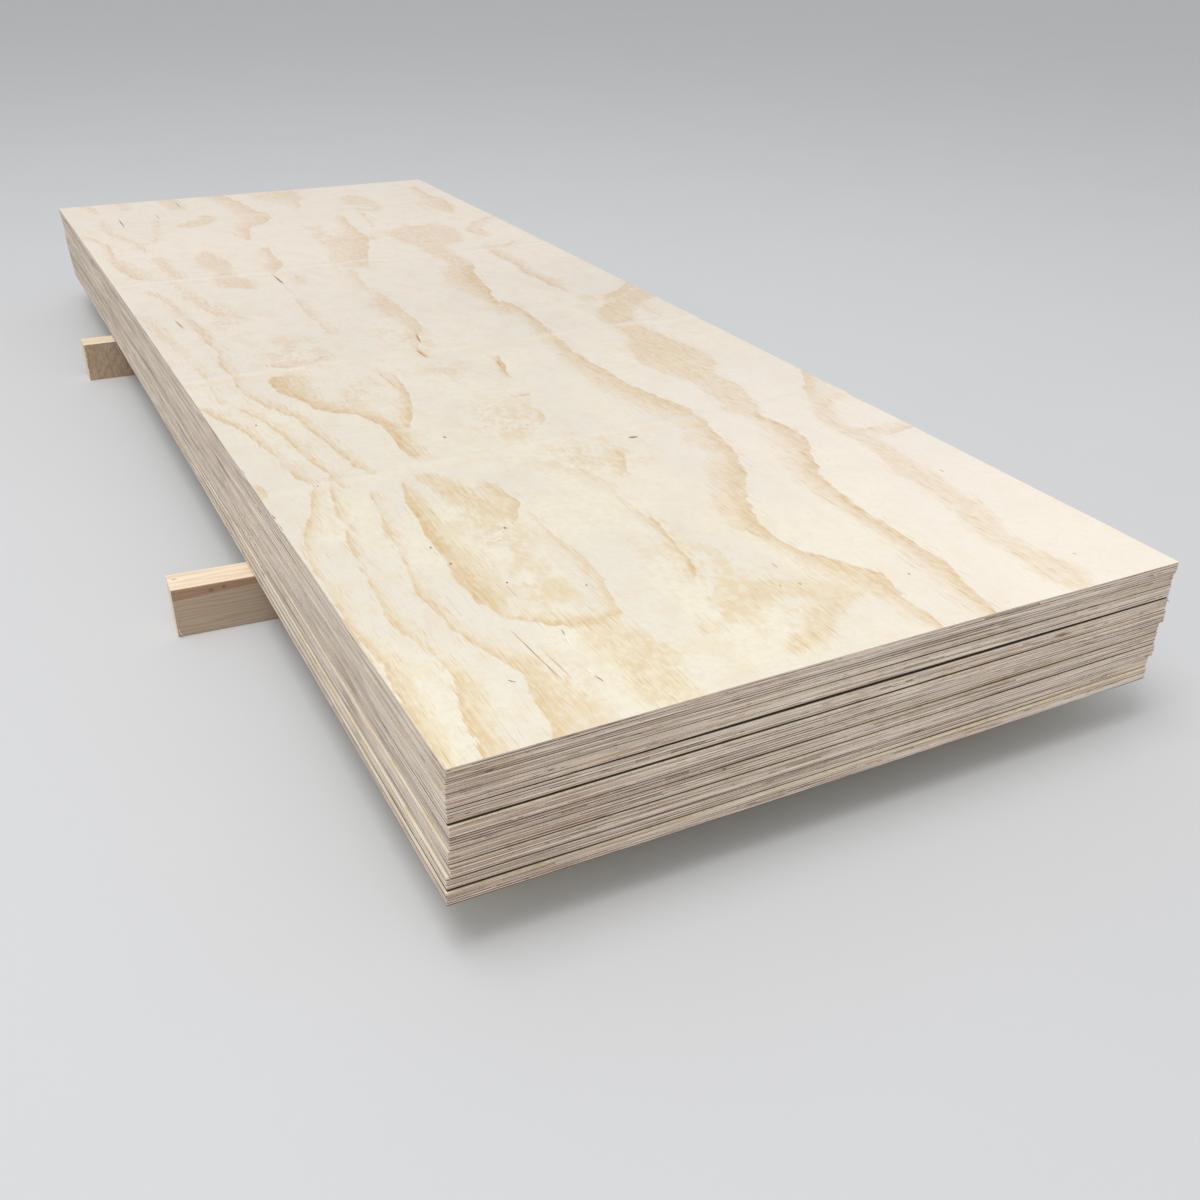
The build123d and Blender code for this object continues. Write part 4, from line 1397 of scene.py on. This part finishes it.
def timber_finish(name, lie, rough, pith, pitch):
    """Pine timber along X, laid out in its bearer's own directions, with rings round a pith line."""
    colours = bearer_settings()
    wood = Finish(name, rough)
    squared = wood.node("ShaderNodeVectorRotate", rotation_type="Z_AXIS")
    origin = (lie.middle.x, lie.middle.y, 0)
    wood.feed(squared.inputs["Vector"], wood.vector_maths("SUBTRACT", wood.place, origin))
    squared.inputs["Angle"].default_value = -lie.turn
    wood.place = squared.outputs[0]
    fibre = wood.noise(wood.stretched((45 * MM, 0.8 * MM, 0.8 * MM)))
    bend = wood.centred(wood.noise(wood.stretched((260 * MM, 16 * MM, 16 * MM), 4.0), 3.0), 9 * MM)
    section = wood.vector_maths("MULTIPLY", wood.vector_maths("SUBTRACT", wood.place, pith), (0, 1, 1))
    radius = wood.total(wood.vector_maths("LENGTH", section), bend, wood.centred(fibre, 0.4 * MM))
    ring = wood.maths("FRACT", wood.maths("DIVIDE", radius, pitch))
    late = wood.product(wood.step(ring, 0.35, 0.9), wood.step(ring, 1.0, 0.92))
    base = wood.mix(wood.product(late, 0.5), colours.planed, colours.planed_dark)
    base = wood.mix(wood.step(fibre, 0.48, 0.75, 0.0, 0.4), base, colours.planed_dark)
    return wood, base, fibre


def darken_spots(wood, base, spots, tint):
    """Darken small ellipsoids: place in the timber, radii, strength."""
    for place, radii, strength in spots:
        away = wood.spot(wood.place, Vector(place) * MM, Vector(radii) * MM)
        base = wood.mix(wood.step(away, 0.4, 1.2, strength, 0.0), base, tint)
    return base


def planed_finish(lie):
    """Pale planed pine, with a reddish band along the top of its near face."""
    colours = bearer_settings()
    wood, base, fibre = timber_finish("planed_timber", lie, rough=0.6, pith=(0, 0.03, -0.05), pitch=4.4 * MM)
    parts = wood.split(wood.place)
    looks_back = wood.facing()["Y"]

    # The band's lower outline rises to the right
    slope, foot = 0.05, 79 * MM
    lower = wood.maths("MULTIPLY_ADD", parts["X"], slope, foot)
    above = wood.maths("SUBTRACT", parts["Z"], lower)
    band = wood.product(wood.step(above, -0.6 * MM, 0.8 * MM), wood.step(looks_back, -0.5, -0.7), 0.8)
    base = wood.tinted(base, band, colours.band)
    # Painted shade darkens the near face
    base = wood.tinted(base, wood.step(looks_back, -0.3, -0.8), colours.near_face_shade)
    base = darken_spots(wood, base, PLANED_KNOTS, colours.knot)
    return wood.finish(base, fibre, 0.15 * MM)


def sawn_finish(lie):
    """Rough-sawn pine: pale on top, brown and scored by the saw on its sides."""
    colours = bearer_settings()
    wood, base, fibre = timber_finish("sawn_timber", lie, rough=0.85, pith=(0, -0.02, 0.04), pitch=5.2 * MM)

    # The saw blade's middle lies left of the bearer and below it
    size = lie.size
    blade = (-0.24 - size.x / 2, 0, -0.09)
    lean = wood.centred(wood.noise(wood.stretched((24 * MM, 24 * MM, 24 * MM)), 3.0), 9 * MM)
    from_blade = wood.vector_maths("MULTIPLY", wood.vector_maths("SUBTRACT", wood.place, blade), (1, 0, 1))
    arc = wood.total(wood.vector_maths("LENGTH", from_blade), lean)
    score = wood.maths("SINE", wood.product(arc, 2 * math.pi / (4.6 * MM)))
    blotch = wood.noise(wood.stretched((4 * MM, 4 * MM, 14 * MM), 2.0), 4.0)
    stain = wood.mix(wood.step(blotch, 0.34, 0.66, 0.0, 0.6), colours.sawn, colours.sawn_marks_and_notch_shade)
    stain = wood.mix(wood.step(score, -0.2, 0.8, 0.0, 0.35), stain, colours.sawn_marks_and_notch_shade)
    base = wood.mix(wood.step(wood.maths("ABSOLUTE", wood.facing()["Y"]), 0.4, 0.8, 0.0, 0.85), base, stain)

    # Painted shade darkens each torn notch inside
    corner = (size.x / -2 / MM, size.y / -2 / MM)
    torn = [((*corner, height / MM), (5, 3, 1.5), 0.7) for height, depth in tear_notches(size)]
    base = darken_spots(wood, base, torn, colours.sawn_marks_and_notch_shade)
    height = wood.total(wood.product(score, 0.3), blotch, fibre)
    return wood.finish(base, height, 0.7 * MM)


# Operators


class PLYWOOD_OT_lower_sheets(bpy.types.Operator):
    """Lay the sheets under the top one"""

    bl_idname = "plywood.lower_sheets"
    bl_label = "Lower sheets"

    def execute(self, context):
        settings = sheet_settings()
        blank_size = lie_of(SHEETS[0]).size
        blank = flat_board(blank_size, settings.coarse_cell, settings.coarse_cell, settings)
        for number in range(1, TOP_SHEET):
            make_sheet(number, copy_board(blank, blank_size, lie_of(SHEETS[number - 1]).size))
        bpy.data.objects.remove(blank)
        return {"FINISHED"}


class PLYWOOD_OT_top_sheet(bpy.types.Operator):
    """Lay the top sheet, with the figure of its veneer"""

    bl_idname = "plywood.top_sheet"
    bl_label = "Top sheet"

    def execute(self, context):
        settings = sheet_settings()
        size = lie_of(SHEETS[-1]).size
        make_sheet(TOP_SHEET, flat_board(size, settings.fine_across, settings.fine_along, settings))
        return {"FINISHED"}


class PLYWOOD_OT_front_bearer(bpy.types.Operator):
    """Set the planed bearer under the near third"""

    bl_idname = "plywood.front_bearer"
    bl_label = "Front bearer"

    def execute(self, context):
        name = "bearer_front"
        lie = lie_of(name)
        timber = make_bearer(name, bearer_settings().eased_edge, 3)
        add_splinters(timber, name, lie.size, 0)
        timber.data.materials.append(planed_finish(lie))
        place_bearer(timber, name)
        return {"FINISHED"}


class PLYWOOD_OT_back_bearer(bpy.types.Operator):
    """Set the sawn bearer under the far third"""

    bl_idname = "plywood.back_bearer"
    bl_label = "Back bearer"

    def execute(self, context):
        name = "bearer_back"
        settings = bearer_settings()
        lie = lie_of(name)
        notches = tear_notches(lie.size)
        part = settings.tear_pitch / 3
        heights = [height + shift for height, depth in notches for shift in (-part, 0, part)]
        places = [settings.tear_reach * share - lie.size.y / 2 for share in (0.5, 1)]
        timber = make_bearer(name, settings.sawn_edge, 1, heights, places)
        tear_end(timber, lie.size, notches)
        timber.data.materials.append(sawn_finish(lie))
        place_bearer(timber, name)
        return {"FINISHED"}


class PLYWOOD_OT_stage(bpy.types.Operator):
    """Lay the floor and set the light and the camera"""

    bl_idname = "plywood.stage"
    bl_label = "Stage"

    def execute(self, context):
        settings = stage_settings()
        scene = context.scene
        deselect()
        bpy.ops.mesh.primitive_plane_add(size=FLOOR_SIZE, location=(0, 0, 0))
        floor = context.object
        floor.name = "floor"
        plain = Finish("pale_floor", 0.9)
        cloud = plain.noise(plain.stretched((0.4, 0.4, 0.4)))
        shade = plain.mix(cloud, settings.floor, settings.floor * 0.97)
        plain.feed(plain.shader.inputs["Base Color"], shade)
        floor.data.materials.append(plain.material)

        world = bpy.data.worlds.new("studio")
        world.use_nodes = True
        sky = world.node_tree.nodes["Background"]
        sky.inputs["Color"].default_value = (1, 1, 1, 1)
        sky.inputs["Strength"].default_value = settings.sky_strength
        scene.world = world

        lamp = bpy.data.lights.new("soft_lamp", "AREA")
        lamp.shape = "RECTANGLE"
        lamp.size, lamp.size_y = LAMP_SIZE
        lamp.energy = settings.lamp_power
        holder = bpy.data.objects.new("soft_lamp", lamp)
        holder.location = LAMP_PLACE
        holder.rotation_euler = (-holder.location).to_track_quat("-Z", "Y").to_euler()
        scene.collection.objects.link(holder)

        eye = bpy.data.cameras.new("camera")
        eye.sensor_width = 36
        eye.lens = settings.lens
        eye.shift_x, eye.shift_y = CAMERA_SHIFT
        camera = bpy.data.objects.new("camera", eye)
        camera.location = CAMERA_PLACE
        camera.rotation_euler = [math.radians(angle) for angle in CAMERA_TURN]
        scene.collection.objects.link(camera)
        scene.camera = camera
        scene.view_settings.view_transform = "Standard"
        return {"FINISHED"}


class PLYWOOD_PT_panel(bpy.types.Panel):
    """Lists what makes up the stack"""

    bl_idname = "PLYWOOD_PT_panel"
    bl_label = "Plywood stack"
    bl_space_type = "VIEW_3D"
    bl_region_type = "UI"
    bl_category = "Plywood"

    def draw(self, context):
        for operator in OPERATORS:
            self.layout.operator(operator.bl_idname)
        for group in (sheet_settings(), bearer_settings(), stage_settings()):
            box = self.layout.box()
            for name in group.__annotations__:
                box.prop(group, name)


OPERATORS = (
    PLYWOOD_OT_lower_sheets,
    PLYWOOD_OT_top_sheet,
    PLYWOOD_OT_front_bearer,
    PLYWOOD_OT_back_bearer,
    PLYWOOD_OT_stage,
)
CLASSES = (SheetSettings, BearerSettings, StageSettings, *OPERATORS, PLYWOOD_PT_panel)


def register():
    """Make the settings, operators and panel known."""
    for item in CLASSES:
        bpy.utils.register_class(item)
    bpy.types.Scene.plywood_sheets = PointerProperty(type=SheetSettings)
    bpy.types.Scene.plywood_bearers = PointerProperty(type=BearerSettings)
    bpy.types.Scene.plywood_stage = PointerProperty(type=StageSettings)


def unregister():
    """Take the settings, operators and panel away again."""
    del bpy.types.Scene.plywood_stage
    del bpy.types.Scene.plywood_bearers
    del bpy.types.Scene.plywood_sheets
    for item in reversed(CLASSES):
        bpy.utils.unregister_class(item)


def main():
    """Make the whole stack and its stage."""
    register()
    bpy.ops.plywood.lower_sheets()
    bpy.ops.plywood.top_sheet()
    bpy.ops.plywood.front_bearer()
    bpy.ops.plywood.back_bearer()
    bpy.ops.plywood.stage()


if __name__ == "__main__":
    main()
